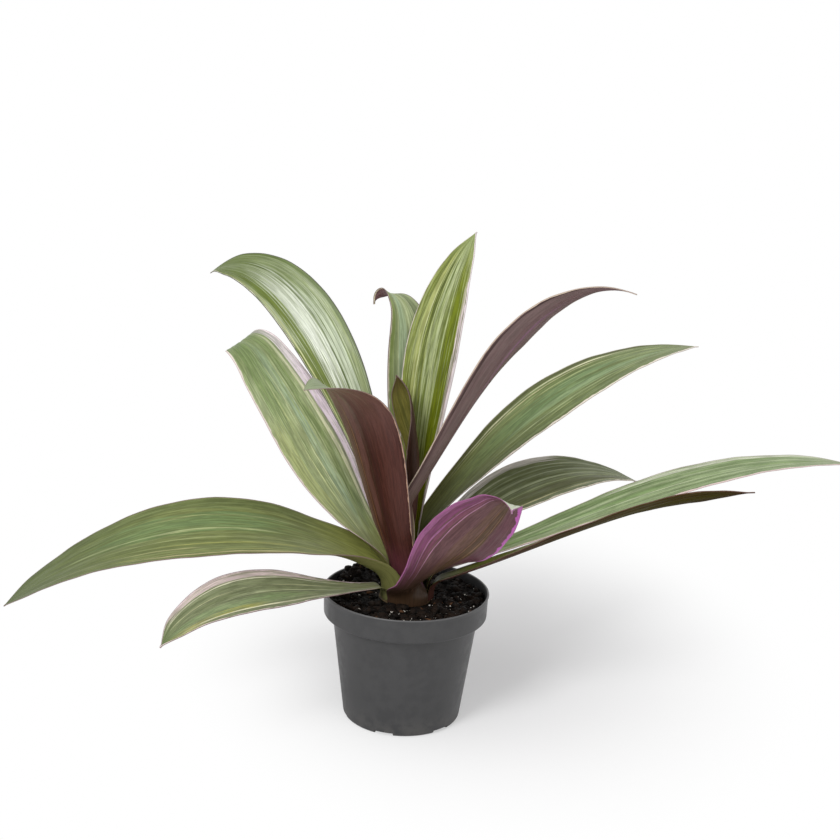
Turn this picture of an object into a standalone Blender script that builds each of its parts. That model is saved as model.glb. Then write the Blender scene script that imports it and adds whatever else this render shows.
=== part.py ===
"""Potted oyster plant: a rosette of fourteen strap leaves on a short stem, in a nursery pot of soil.

The named sizes are in millimetres and the meshes in metres.  The origin is the middle of the pot's flat
bottom, +Z is up, +X points to the plant's right and -Y to its front.  A leaf is a sheet laid along its
midrib and thickened: its foot is a sheath that wraps the stem, and the sheaths are nested rings, so that
no leaf touches the next one.
"""

import math
from dataclasses import dataclass

import bmesh
import bpy
import numpy as np
from mathutils import Matrix

MM = 0.001

# Nursery pot: radii and heights of its outer wall, and the thickness of the plastic.
POT_HEIGHT = 96.0
POT_RIM_RADIUS = 60.0
POT_COLLAR_RADIUS = 59.0
POT_COLLAR_BOTTOM = 78.5
POT_SHOULDER_RADIUS = 52.6
POT_FOOT_RADIUS = 42.8
POT_CORNER = 3.0
POT_WALL = 1.5
POT_FLOOR = 2.2
POT_LIP = 0.9
POT_RIM_EDGE = 0.4
POT_COLLAR_EDGE = 1.2
POT_RIM_DEPTH = 2.4
POT_SEGMENTS = 60

# Drainage notches, cut where the wall meets the bottom.
NOTCH_COUNT = 6
NOTCH_WIDTH = 14.0
NOTCH_HEIGHT = 2.6
NOTCH_DEPTH = 9.0
NOTCH_OVERCUT = 4.0
NOTCH_START_ANGLE = 254.0

# Potting soil.
SOIL_LEVEL = 90.0
SOIL_GAP = 0.8
SOIL_LUMP = 1.1
SOIL_FLAT_MARGIN = 3.0
SOIL_LUMP_START = 12.0
SOIL_RINGS = 8
SOIL_SEGMENTS = 60
HEAP_ANGLE = 146.0
HEAP_DISTANCE = 44.0
HEAP_RADIUS = 17.0
HEAP_HEIGHT = 11.0

# Stem: a cone above the soil on a plain foot buried in it.
STEM_RADIUS = 20.1
STEM_TAPER = 1.1
STEM_HEIGHT = 17.2
STEM_FOOT_RADIUS = 14.5
STEM_FOOT_DEPTH = 20.0
STEM_FOOT_EDGE = 2.0
STEM_CROWN_SHARE = 0.6  # radius of the flat crown as a share of the top's radius
STEM_CROWN_RISE = 0.7
STEM_CROWN_PEAK = 0.9
STEM_SEGMENTS = 48
SEAT_GAP = 0.6
TOUCH_GAP = 0.3

# Leaves.
LEAF_THICKNESS = 1.0
LEAF_MARGIN_THICKNESS = 0.55
LEAF_TIP_WIDTH = 1.4
LEAF_POINT = 0.09  # fraction of the length over which the tip closes to a point
LEAF_POINT_POWER = 0.6
LEAF_SAMPLES = 240
LEAF_ROWS = 24
LEAF_COLUMNS = 6
LEAF_TIP_THINNING = 0.3  # share of the thickness lost between the foot and the tip
SHEATH_LIMIT = 138.0
SHEATH_SHARE = 0.5  # share of the sheath after which the midrib leaves the upright
SHEATH_BEND = 0.06  # fraction of the leaf in which it does so beyond the sheath
CHANNEL_SHARE = 0.6  # share of the sheath after which the cross-section opens
CHANNEL_BEND = 0.25  # fraction of the leaf in which it opens
TWIST_MIDDLE = 0.5  # progress at which the blade has its middle roll
ROW_TURN_WEIGHT = 0.35
ROW_TAPER_WEIGHT = 1.2
SMALLEST_CHANNEL = 0.02


@dataclass(frozen=True)
class LeafShape:
    """One leaf along its midrib: angles in degrees, lengths in millimetres, fractions of the length."""

    name: str
    colour: str
    azimuth: float  # where the sheath stands round the stem, 0 at +X and 90 at +Y
    ring: float  # radius of the sheath about the stem's axis
    sheath: float  # upright length of the sheath
    length: float
    width: float
    rise: float  # pitch of the midrib where it leaves the sheath
    arch: float  # pitch that the middle of the blade is drawn towards
    tip: float  # pitch at the tip
    lean: float = 0.0  # turn of the heading just above the sheath
    sweep: float = 0.0  # turn of the heading from there to the tip
    ease: float = 1.0  # above 1 the arch comes late in the blade
    roll: float = 0.0  # twist of the blade about its midrib at mid length
    tip_roll: float = 0.0  # the same at the tip
    channel: float = 25.0  # half angle of the blade's channel
    tip_channel: float = 0.4  # share of it left at the tip
    base: float = 0.5  # width of the foot as a share of the full width
    peak: float = 0.45  # where the blade is widest
    blunt: float = 1.0  # below 1 the blade stays wide and then closes quickly
    curl: float = 0.0  # angle of the curl towards the underside at the tip
    curl_from: float = 0.8  # where the curl starts


LEAVES = (
    LeafShape("leaf_left_long", "green", azimuth=190, ring=17.4, sheath=5, length=292, width=62,
              rise=37, arch=-6, tip=-36, sweep=6, roll=-23, base=0.74, peak=0.4, blunt=0.46),
    LeafShape("leaf_left_low", "green", azimuth=212, ring=19, sheath=4, length=188, width=44, rise=-3,
              arch=38, tip=-46, sweep=8, roll=-20, base=0.25, peak=0.66, blunt=0.7),
    LeafShape("leaf_left_broad", "green", azimuth=164, ring=15.6, sheath=14, length=240, width=55.5,
              rise=50, arch=65, tip=45, roll=-35, tip_roll=-46, channel=15, base=0.66, blunt=0.6,
              curl=150, curl_from=0.8),
    LeafShape("leaf_left_upper", "pale", azimuth=142, ring=9.6, sheath=20, length=318, width=45,
              rise=63, arch=71, tip=-31, ease=1.4, roll=-34, tip_roll=-34, base=0.4, peak=0.65,
              blunt=0.7),
    LeafShape("leaf_back_hooked", "green", azimuth=97, ring=8.2, sheath=20, length=230, width=36,
              rise=79.1, arch=90, tip=-100, ease=5, sweep=85, tip_roll=80, base=0.4, peak=0.69,
              blunt=0.85),
    LeafShape("leaf_centre_tall", "pale", azimuth=75, ring=6.6, sheath=20, length=255, width=43.5,
              rise=83, arch=90, tip=59, sweep=-50, roll=20, base=0.25, peak=0.75, blunt=0.5),
    LeafShape("leaf_heart_young", "maroon", azimuth=60, ring=2.6, sheath=16, length=149, width=30,
              rise=84, arch=84, tip=122, lean=-72, roll=12, tip_roll=70, channel=88, tip_channel=0.75,
              base=0.35, peak=0.7, blunt=0.5),
    LeafShape("leaf_front_broad", "maroon", azimuth=-114, ring=13.9, sheath=12, length=196, width=57,
              rise=69, arch=86.5, tip=-30, ease=2.8, lean=-14, sweep=-36, roll=12, tip_roll=0,
              channel=30, base=0.5, peak=0.78, blunt=0.35),
    LeafShape("leaf_right_upper", "mauve", azimuth=-110, ring=12.4, sheath=58, length=304, width=37.5,
              rise=62, arch=68, tip=-17, ease=2, lean=89, roll=-32, tip_roll=-22, channel=30, base=0.34),
    LeafShape("leaf_right_arching", "green", azimuth=45, ring=12.4, sheath=36, length=313, width=49,
              rise=49, arch=36, tip=-2, lean=-17, roll=12, base=0.4, peak=0.55, blunt=0.6),
    LeafShape("leaf_right_short", "green", azimuth=33, ring=14.8, sheath=15, length=245, width=51,
              rise=39, arch=16, tip=-32, roll=17, base=0.42, blunt=0.6),
    LeafShape("leaf_right_long", "green", azimuth=6, ring=16.4, sheath=5, length=330, width=33, rise=16,
              arch=38, tip=-6, sweep=-2, roll=17, base=0.52, peak=0.68, blunt=0.45),
    LeafShape("leaf_right_low", "maroon", azimuth=-12, ring=19.4, sheath=5, length=247, width=34,
              rise=22, arch=39, tip=8, sweep=-1, roll=-15, tip_roll=-42, channel=25, base=0.48,
              peak=0.55),
    LeafShape("leaf_front_twisted", "mauve", azimuth=-85, ring=20.6, sheath=9, length=147, width=56,
              rise=45, arch=49, tip=50, lean=54, sweep=-15, roll=-45, tip_roll=-40, channel=30,
              base=0.56, peak=0.5, curl=90, curl_from=0.8),
)

# Colours as linear red, green, blue, with roughness.
COLOURS = {
    "green": ((0.19, 0.25, 0.10), 0.42),
    "pale": ((0.36, 0.42, 0.24), 0.42),
    "maroon": ((0.07, 0.025, 0.018), 0.38),
    "mauve": ((0.15, 0.075, 0.08), 0.40),
    "plastic": ((0.065, 0.066, 0.068), 0.45),
    "soil": ((0.010, 0.007, 0.005), 0.95),
    "stem": ((0.10, 0.07, 0.03), 0.6),
}


def clear_scene():
    """Remove every object that the file opened with."""
    for obj in list(bpy.data.objects):
        bpy.data.objects.remove(obj, do_unlink=True)


def make_material(name, colour_name):
    """Return a plain material with the named colour."""
    colour, roughness = COLOURS[colour_name]
    material = bpy.data.materials.new(name)
    material.use_nodes = True
    shader = material.node_tree.nodes["Principled BSDF"]
    shader.inputs["Base Color"].default_value = (*colour, 1.0)
    shader.inputs["Roughness"].default_value = roughness
    shader.inputs["Metallic"].default_value = 0.0
    material.diffuse_color = (*colour, 1.0)
    return material


def add_object(name, mesh, colour_name):
    """Link a mesh to the scene as a smooth object with its own material."""
    obj = bpy.data.objects.new(name, mesh)
    bpy.context.scene.collection.objects.link(obj)
    mesh.materials.append(make_material(name + "_material", colour_name))
    mesh.shade_smooth()
    mesh.set_sharp_from_angle(angle=math.radians(40))
    return obj


def turned_mesh(name, profile, segments):
    """Turn a closed profile of (radius, height) points in millimetres into a solid of revolution.

    The profile runs from the axis at the bottom, up the outside and back to the axis at the top.
    """
    bm = bmesh.new()
    rings = []
    for radius, height in profile:
        if radius == 0.0:
            rings.append([bm.verts.new((0.0, 0.0, height * MM))])
            continue
        ring = []
        for step in range(segments):
            angle = 2.0 * math.pi * step / segments
            ring.append(bm.verts.new((radius * math.cos(angle) * MM, radius * math.sin(angle) * MM,
                                      height * MM)))
        rings.append(ring)
    for lower, upper in zip(rings, rings[1:]):
        bridge_rings(bm, lower, upper)
    bmesh.ops.recalc_face_normals(bm, faces=bm.faces)
    mesh = bpy.data.meshes.new(name)
    bm.to_mesh(mesh)
    bm.free()
    return mesh


def bridge_rings(bm, lower, upper):
    """Join two rings of vertices with faces; a ring of one vertex is a point on the axis."""
    count = max(len(lower), len(upper))
    for step in range(count):
        after = (step + 1) % count
        corners = [lower[step % len(lower)], lower[after % len(lower)],
                   upper[after % len(upper)], upper[step % len(upper)]]
        corners = list(dict.fromkeys(corners))
        bm.faces.new(corners)


def build_pot():
    """Nursery pot: tapered wall, wider collar with a thin rim, flat bottom with drainage notches."""
    corner = POT_CORNER
    outer = [
        (0.0, 0.0),
        (POT_FOOT_RADIUS - corner, 0.0),
        (POT_FOOT_RADIUS - 0.3 * corner, 0.3 * corner),
        (POT_FOOT_RADIUS, corner),
        (POT_SHOULDER_RADIUS, POT_COLLAR_BOTTOM - POT_COLLAR_EDGE),
        (POT_COLLAR_RADIUS - POT_COLLAR_EDGE, POT_COLLAR_BOTTOM),
        (POT_COLLAR_RADIUS, POT_COLLAR_BOTTOM + POT_COLLAR_EDGE),
        (POT_RIM_RADIUS - POT_RIM_EDGE, POT_HEIGHT - POT_RIM_DEPTH),
        (POT_RIM_RADIUS, POT_HEIGHT - POT_LIP),
        (POT_RIM_RADIUS - POT_RIM_EDGE, POT_HEIGHT),
    ]
    inner = [
        (POT_RIM_RADIUS + POT_RIM_EDGE - POT_WALL, POT_HEIGHT),
        (POT_RIM_RADIUS - POT_RIM_EDGE - POT_WALL, POT_HEIGHT - POT_RIM_DEPTH),
        (POT_COLLAR_RADIUS - POT_WALL, POT_COLLAR_BOTTOM + POT_WALL + POT_COLLAR_EDGE),
        (POT_SHOULDER_RADIUS - POT_WALL, POT_COLLAR_BOTTOM + POT_COLLAR_EDGE),
        (POT_FOOT_RADIUS - POT_WALL, POT_CORNER),
        (POT_FOOT_RADIUS - corner, POT_FLOOR),
        (0.0, POT_FLOOR),
    ]
    pot = add_object("nursery_pot", turned_mesh("nursery_pot", outer + inner, POT_SEGMENTS), "plastic")
    cutter = build_notch_cutter()
    cut = pot.modifiers.new("drainage_notches", "BOOLEAN")
    cut.operation = "DIFFERENCE"
    cut.solver = "EXACT"
    cut.object = cutter
    return pot


def build_notch_cutter():
    """Blocks round the foot of the pot, joined in one hidden cutter."""
    bm = bmesh.new()
    length = NOTCH_DEPTH + NOTCH_OVERCUT
    middle = POT_FOOT_RADIUS + NOTCH_OVERCUT - 0.5 * length
    for index in range(NOTCH_COUNT):
        angle = math.radians(NOTCH_START_ANGLE + 360.0 * index / NOTCH_COUNT)
        block = bmesh.ops.create_cube(bm, size=1.0)["verts"]
        bmesh.ops.scale(bm, verts=block, vec=(length * MM, NOTCH_WIDTH * MM, 2.0 * NOTCH_HEIGHT * MM))
        bmesh.ops.translate(bm, verts=block, vec=(middle * MM, 0.0, 0.0))
        bmesh.ops.rotate(bm, verts=block, cent=(0.0, 0.0, 0.0), matrix=Matrix.Rotation(angle, 3, "Z"))
    mesh = bpy.data.meshes.new("notch_cutter")
    bm.to_mesh(mesh)
    bm.free()
    cutter = bpy.data.objects.new("notch_cutter", mesh)
    bpy.context.scene.collection.objects.link(cutter)
    cutter.hide_render = True
    cutter.display_type = "WIRE"
    return cutter


def soil_height(radius, angle):
    """Height of the soil's surface: flat round the stem, lumpy outwards, with one heap at the back left."""
    x = radius * math.cos(angle)
    y = radius * math.sin(angle)
    lumps = math.sin(0.31 * x + 1.0) * math.cos(0.27 * y) + 0.5 * math.sin(0.22 * x - 0.41 * y)
    outward = min(1.0, max(0.0, (radius - STEM_RADIUS - SOIL_FLAT_MARGIN) / SOIL_LUMP_START))
    heap_x = HEAP_DISTANCE * math.cos(math.radians(HEAP_ANGLE))
    heap_y = HEAP_DISTANCE * math.sin(math.radians(HEAP_ANGLE))
    off = math.hypot(x - heap_x, y - heap_y) / HEAP_RADIUS
    heap = HEAP_HEIGHT * max(0.0, 1.0 - off * off)
    return SOIL_LEVEL + outward * SOIL_LUMP * lumps + outward * heap


def build_soil():
    """Soil: fills the pot up to its uneven surface, with a socket for the stem's foot."""
    shoulder = POT_SHOULDER_RADIUS - POT_WALL
    edge = POT_COLLAR_RADIUS - POT_WALL - SOIL_GAP
    socket = STEM_FOOT_RADIUS + TOUCH_GAP
    socket_bottom = SOIL_LEVEL - STEM_FOOT_DEPTH - TOUCH_GAP
    wall = [
        (0.0, POT_FLOOR + TOUCH_GAP),
        (POT_FOOT_RADIUS - POT_CORNER - SOIL_GAP, POT_FLOOR + TOUCH_GAP),
        (POT_FOOT_RADIUS - POT_WALL - SOIL_GAP, POT_CORNER + TOUCH_GAP),
        (shoulder - SOIL_GAP, POT_COLLAR_BOTTOM + POT_COLLAR_EDGE),
        (edge, POT_COLLAR_BOTTOM + POT_WALL + POT_COLLAR_EDGE + TOUCH_GAP),
    ]
    bm = bmesh.new()
    rings = []
    for radius, height in wall:
        rings.append(soil_ring(bm, radius, height))
    for index in range(SOIL_RINGS):
        share = index / (SOIL_RINGS - 1)
        radius = edge + share * (socket - edge)
        rings.append(soil_ring(bm, radius, None))
    rings.append(soil_ring(bm, socket, socket_bottom))
    rings.append(soil_ring(bm, 0.0, socket_bottom))
    for lower, upper in zip(rings, rings[1:]):
        bridge_rings(bm, lower, upper)
    bmesh.ops.recalc_face_normals(bm, faces=bm.faces)
    mesh = bpy.data.meshes.new("potting_soil")
    bm.to_mesh(mesh)
    bm.free()
    return add_object("potting_soil", mesh, "soil")


def soil_ring(bm, radius, height):
    """One ring of the soil's skin; without a height it follows the uneven surface."""
    if radius == 0.0:
        return [bm.verts.new((0.0, 0.0, height * MM))]
    ring = []
    for step in range(SOIL_SEGMENTS):
        angle = 2.0 * math.pi * step / SOIL_SEGMENTS
        level = soil_height(radius, angle) if height is None else height
        ring.append(bm.verts.new((radius * math.cos(angle) * MM, radius * math.sin(angle) * MM, level * MM)))
    return ring


def build_stem():
    """Stem: the buried foot, the cone that the sheaths stand on and its rounded top."""
    skirt = SOIL_LEVEL + TOUCH_GAP
    top = SOIL_LEVEL + STEM_HEIGHT
    top_radius = STEM_RADIUS - STEM_TAPER * STEM_HEIGHT
    foot = SOIL_LEVEL - STEM_FOOT_DEPTH
    profile = [
        (0.0, foot),
        (STEM_FOOT_RADIUS - STEM_FOOT_EDGE, foot),
        (STEM_FOOT_RADIUS, foot + STEM_FOOT_EDGE),
        (STEM_FOOT_RADIUS, skirt),
        (STEM_RADIUS - STEM_TAPER * TOUCH_GAP, skirt),
        (top_radius, top),
        (STEM_CROWN_SHARE * top_radius, top + STEM_CROWN_RISE),
        (0.0, top + STEM_CROWN_PEAK),
    ]
    return add_object("stem", turned_mesh("stem", profile, STEM_SEGMENTS), "stem")


def smooth_step(values):
    """Ease values from 0 to 1, held to that range."""
    held = np.clip(values, 0.0, 1.0)
    return held * held * (3.0 - 2.0 * held)


def node_height(shape):
    """Height above the soil where the stem is just slim enough for the leaf's sheath to stand on it."""
    inner_face = shape.ring - 0.5 * LEAF_THICKNESS
    return (STEM_RADIUS - (inner_face - SEAT_GAP)) / STEM_TAPER


def blade_progress(shape, along):
    """How far along the blade, 0 at the top of the sheath and 1 at the tip, with the leaf's ease."""
    sheath_share = shape.sheath / shape.length
    return np.clip((along - sheath_share) / (1.0 - sheath_share), 0.0, 1.0) ** shape.ease


def midrib_frames(shape, along):
    """Return points, sideways and upper-side directions of the midrib at rising fractions of its length."""
    sheath_share = shape.sheath / shape.length
    progress = blade_progress(shape, along)
    bend = (1.0 - SHEATH_SHARE) * sheath_share + SHEATH_BEND
    opening = smooth_step((along - SHEATH_SHARE * sheath_share) / bend)
    pitch = (1 - progress) ** 2 * shape.rise + 2 * progress * (1 - progress) * shape.arch
    pitch += progress ** 2 * shape.tip
    pitch = np.radians(90.0 * (1 - opening) + pitch * opening)
    heading = np.radians(shape.azimuth + shape.lean * opening + shape.sweep * progress)
    ahead = np.stack([np.cos(pitch) * np.cos(heading), np.cos(pitch) * np.sin(heading), np.sin(pitch)], 1)
    level = np.stack([-np.sin(heading), np.cos(heading), np.zeros_like(heading)], 1)
    upper = np.cross(ahead, level)
    roll = shape.roll * smooth_step(progress / TWIST_MIDDLE)
    roll += (shape.tip_roll - shape.roll) * smooth_step((progress - TWIST_MIDDLE) / (1.0 - TWIST_MIDDLE))
    roll = np.radians(roll)[:, None]
    sideways = np.cos(roll) * level + np.sin(roll) * upper
    upper = np.cos(roll) * upper - np.sin(roll) * level
    curl = np.clip((along - shape.curl_from) / (1.0 - shape.curl_from), 0.0, 1.0)
    curl = np.radians(shape.curl * curl)[:, None]
    ahead, upper = np.cos(curl) * ahead - np.sin(curl) * upper, np.cos(curl) * upper + np.sin(curl) * ahead
    steps = 0.5 * (ahead[1:] + ahead[:-1]) * (np.diff(along) * shape.length)[:, None]
    start = math.radians(shape.azimuth)
    foot = np.array([shape.ring * math.cos(start), shape.ring * math.sin(start),
                     SOIL_LEVEL + node_height(shape)])
    points = np.vstack([foot, foot + np.cumsum(steps, axis=0)])
    return points, sideways, upper


def half_width(shape, along):
    """Half the leaf's width: swelling from the foot to the peak and tapering to the tip."""
    swell = shape.base + (1.0 - shape.base) * smooth_step(along / shape.peak)
    past = np.clip((along - shape.peak) / (1.0 - shape.peak), 0.0, 1.0)
    taper = (1.0 - past ** 2) ** shape.blunt
    point = np.sin(0.5 * math.pi * np.clip((1.0 - along) / LEAF_POINT, 0.0, 1.0)) ** LEAF_POINT_POWER
    width = 0.5 * shape.width * point * np.where(along < shape.peak, swell, taper)
    return np.maximum(width, 0.5 * LEAF_TIP_WIDTH)


def channel_angle(shape, along, width):
    """Half angle of the cross-section's arc: round the stem in the sheath, a shallow channel above it."""
    sheath_share = shape.sheath / shape.length
    wrapped = np.minimum(width / shape.ring, math.radians(SHEATH_LIMIT))
    progress = blade_progress(shape, along)
    open_channel = np.radians(shape.channel * (1 + (shape.tip_channel - 1) * smooth_step(progress)))
    opening = smooth_step((along - CHANNEL_SHARE * sheath_share) / CHANNEL_BEND)
    return np.maximum(wrapped * (1 - opening) + open_channel * opening, SMALLEST_CHANNEL)


def leaf_rows(shape):
    """Fractions of the length for the rows, closer where the midrib turns or the blade tapers."""
    along = np.linspace(0.0, 1.0, LEAF_SAMPLES)
    points, _, upper = midrib_frames(shape, along)
    turning = np.linalg.norm(np.diff(upper, axis=0), axis=1)
    tapering = np.abs(np.diff(half_width(shape, along))) / shape.width
    effort = np.diff(along) + ROW_TURN_WEIGHT * turning + ROW_TAPER_WEIGHT * tapering
    effort = np.concatenate([[0.0], np.cumsum(effort)])
    return np.interp(np.linspace(0.0, effort[-1], LEAF_ROWS + 1), effort, along)


def leaf_sheet(shape):
    """Return the grid of points of the leaf's middle sheet, rows along it and columns across it."""
    fine = np.linspace(0.0, 1.0, LEAF_SAMPLES)
    rows = leaf_rows(shape)
    frames = []
    for values in midrib_frames(shape, fine):
        frames.append(np.stack([np.interp(rows, fine, values[:, axis]) for axis in range(3)], 1))
    points, sideways, upper = frames
    width = half_width(shape, rows)
    angle = channel_angle(shape, rows, width)
    across = np.linspace(-1.0, 1.0, LEAF_COLUMNS + 1)
    arc = across[None, :] * angle[:, None]
    side = width[:, None] * np.sin(arc) / angle[:, None]
    lift = width[:, None] * (1.0 - np.cos(arc)) / angle[:, None]
    grid = points[:, None, :] + sideways[:, None, :] * side[:, :, None] + upper[:, None, :] * lift[:, :, None]
    return rows, across, grid


def build_leaf(shape):
    """One leaf: its sheet, thickened to both sides and thinner towards the margins and the tip."""
    rows, across, grid = leaf_sheet(shape)
    bm = bmesh.new()
    verts = [[bm.verts.new(point * MM) for point in line] for line in grid]
    for line, line_after in zip(verts, verts[1:]):
        for column in range(LEAF_COLUMNS):
            bm.faces.new((line[column], line_after[column], line_after[column + 1], line[column + 1]))
    mesh = bpy.data.meshes.new(shape.name)
    bm.to_mesh(mesh)
    bm.free()
    leaf = add_object(shape.name, mesh, shape.colour)
    body = leaf.vertex_groups.new(name="body")
    thinning = 1.0 - LEAF_MARGIN_THICKNESS / LEAF_THICKNESS
    for row, fraction in enumerate(rows):
        for column, offset in enumerate(across):
            weight = (1.0 - thinning * offset * offset) * (1.0 - LEAF_TIP_THINNING * fraction)
            body.add([row * (LEAF_COLUMNS + 1) + column], weight, "REPLACE")
    thicken = leaf.modifiers.new("thickness", "SOLIDIFY")
    thicken.thickness = LEAF_THICKNESS * MM
    thicken.offset = 0.0
    thicken.vertex_group = "body"
    return leaf


def main():
    """Build the pot, the soil, the stem and the leaves."""
    clear_scene()
    build_pot()
    build_soil()
    build_stem()
    for shape in LEAVES:
        build_leaf(shape)


main()
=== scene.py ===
"""Potted oyster plant, dressed: fourteen striped leaves on a short stem, potting soil and a nursery pot.

Everything is in the row frame, in metres, with the named sizes in millimetres.  A leaf is laid along its
midrib by the same rule as its solid, with a finer sheet, a soft midrib groove, waved margins and a finish
for each of its two sides.  The soil gets crumbs, bark and white grains, and the pot rounded mouldings.
"""

import logging
import math
import random
from collections.abc import Callable
from dataclasses import dataclass, field, replace
from enum import Enum
from functools import cache

import bmesh
import bpy
import numpy as np
from bmesh.types import BMesh, BMVert
from bpy.types import ID, Material, Node, NodeSocket, NodeTree, Object
from mathutils import Matrix, Vector, noise


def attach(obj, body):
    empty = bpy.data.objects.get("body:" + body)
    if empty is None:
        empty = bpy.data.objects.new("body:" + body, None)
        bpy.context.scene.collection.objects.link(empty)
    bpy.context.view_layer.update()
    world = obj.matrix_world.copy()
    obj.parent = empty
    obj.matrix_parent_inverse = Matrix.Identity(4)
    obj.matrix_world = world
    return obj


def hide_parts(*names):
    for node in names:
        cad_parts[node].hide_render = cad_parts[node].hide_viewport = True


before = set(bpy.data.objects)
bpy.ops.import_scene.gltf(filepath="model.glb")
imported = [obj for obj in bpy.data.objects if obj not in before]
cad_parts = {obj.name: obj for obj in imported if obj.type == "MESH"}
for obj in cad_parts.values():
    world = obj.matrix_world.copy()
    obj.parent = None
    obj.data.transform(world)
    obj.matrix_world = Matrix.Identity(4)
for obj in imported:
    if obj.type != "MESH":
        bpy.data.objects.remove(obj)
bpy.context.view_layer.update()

MM = 0.001
BODY = "root"
LEAF_MAP = "LeafShare"
MARGIN_MAP = "LeafMargin"

Colour = str  # a display colour as #rrggbb
Value = NodeSocket | Colour | float | tuple[float, ...]  # a socket to wire or a constant to set
Grid = np.ndarray

log = logging.getLogger("oyster_plant")


# ---- Shader building ----


def linear(colour: Colour) -> tuple[float, ...]:
    """Return a display colour's linear red, green, blue and alpha."""
    shares = [int(colour[place : place + 2], 16) / 255.0 for place in (1, 3, 5)]
    return *(share / 12.92 if share <= 0.04045 else ((share + 0.055) / 1.055) ** 2.4 for share in shares), 1


class Blend(Enum):
    """How one colour is laid over another."""

    MIX = "MIX"
    MULTIPLY = "MULTIPLY"


class NodeSheet:
    """Adds nodes to the tree of a material, a world or a shader group, and wires them."""

    def __init__(self, tree: NodeTree) -> None:
        """Take over a node tree."""
        self.tree = tree

    def feed(self, target: NodeSocket, value: Value) -> None:
        """Wire a socket into an input, or set the input to a constant.

        Args:
            target: the input.
            value: what it gets.
        """
        if isinstance(value, NodeSocket):
            self.tree.links.new(value, target)
        else:
            target.default_value = linear(value) if isinstance(value, str) else value

    def add(self, kind: str, values: dict[int | str, Value] | None = None, **settings: object) -> Node:
        """Add one node.

        Args:
            kind: the node's type name.
            values: what its inputs get, by number or name.
            settings: attributes of the node.

        Returns:
            The new node.
        """
        node = self.tree.nodes.new(kind)
        for name, setting in settings.items():
            setattr(node, name, setting)
        for key, value in (values or {}).items():
            self.feed(node.inputs[key], value)
        return node

    def math(self, operation: str, first: Value, second: Value) -> NodeSocket:
        """Return the result of a Math node."""
        return self.add("ShaderNodeMath", {0: first, 1: second}, operation=operation).outputs[0]

    def plus(self, first: Value, second: Value) -> NodeSocket:
        """Return the sum of two values."""
        return self.math("ADD", first, second)

    def minus(self, first: Value, second: Value) -> NodeSocket:
        """Return the first value less the second."""
        return self.math("SUBTRACT", first, second)

    def times(self, first: Value, second: Value) -> NodeSocket:
        """Return the product of two values."""
        return self.math("MULTIPLY", first, second)

    def fit(self, value: Value, low: Value, high: Value, start: float = 0, end: float = 1) -> NodeSocket:
        """Map a value smoothly from low..high to start..end, and hold it to that range."""
        values = dict(enumerate((value, low, high, start, end)))
        return self.add("ShaderNodeMapRange", values, interpolation_type="SMOOTHSTEP").outputs[0]

    def mix(self, share: Value, under: Value, over: Value, blend: Blend = Blend.MIX) -> NodeSocket:
        """Lay one colour over another, as much as the share of 0 to 1 says."""
        values = {0: share, 6: under, 7: over}
        return self.add("ShaderNodeMix", values, data_type="RGBA", blend_type=blend.value).outputs[2]

    def combine(self, x: Value, y: Value, z: Value) -> NodeSocket:
        """Return a vector made of three values."""
        return self.add("ShaderNodeCombineXYZ", {0: x, 1: y, 2: z}).outputs[0]

    def split(self, vector: NodeSocket) -> tuple[NodeSocket, ...]:
        """Return the three values of a vector."""
        return tuple(self.add("ShaderNodeSeparateXYZ", {0: vector}).outputs)

    def noise(self, vector: NodeSocket, scale: Value, detail: float, roughness: float = 0.5) -> NodeSocket:
        """Return a Noise Texture's value, about 0.5 on average."""
        values = {"Vector": vector, "Scale": scale, "Detail": detail, "Roughness": roughness}
        return self.add("ShaderNodeTexNoise", values).outputs[0]

    def bump(self, height: NodeSocket, distance: float, strength: float = 1.0) -> NodeSocket:
        """Return the normal of a relief whose depth is given in metres."""
        values = {"Strength": strength, "Distance": distance, "Height": height}
        return self.add("ShaderNodeBump", values).outputs[0]

    def group(self, tree: NodeTree, **values: Value) -> bpy.types.bpy_prop_collection:
        """Place a shader group, feed its inputs by name, with _ for a space, and return its outputs."""
        named = {name.replace("_", " "): value for name, value in values.items()}
        return self.add("ShaderNodeGroup", named, node_tree=tree).outputs


class GroupSheet(NodeSheet):
    """The sheet of a new shader group whose outputs are all numbers."""

    def __init__(self, name: str, vectors: str, numbers: str, results: str) -> None:
        """Start the group.

        Args:
            name: the group's name.
            vectors: the names of its vector inputs, parted by commas.
            numbers: the names of its number inputs.
            results: the names of its outputs.
        """
        super().__init__(bpy.data.node_groups.new(name, "ShaderNodeTree"))
        sockets = (vectors, "INPUT", "Vector"), (numbers, "INPUT", "Float"), (results, "OUTPUT", "Float")
        for labels, way, kind in sockets:
            for label in labels.split(", "):
                self.tree.interface.new_socket(label, in_out=way, socket_type="NodeSocket" + kind)
        self.given = self.add("NodeGroupInput").outputs
        self.target = self.add("NodeGroupOutput").inputs

    def put(self, label: str, value: NodeSocket) -> None:
        """Feed one of the group's outputs."""
        self.feed(self.target[label], value)


class MaterialSheet(NodeSheet):
    """The sheet of a new material with its Principled shader."""

    def __init__(self, name: str) -> None:
        """Start the material.

        Args:
            name: the material's name.
        """
        self.material = bpy.data.materials.new(name)
        self.material.use_nodes = True
        super().__init__(self.material.node_tree)
        self.shader = self.tree.nodes["Principled BSDF"]

    def dress(self, colour: Value, roughness: Value, specular: float = 0.5, **more: Value) -> Material:
        """Feed the shader.

        Args:
            colour: the base colour.
            roughness: the roughness.
            specular: the specular level.
            more: other inputs by name, such as Normal.

        Returns:
            The material.
        """
        values = {"Base Color": colour, "Roughness": roughness, "Specular IOR Level": specular} | more
        for label, value in values.items():
            self.feed(self.shader.inputs[label], value)
        return self.material


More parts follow.
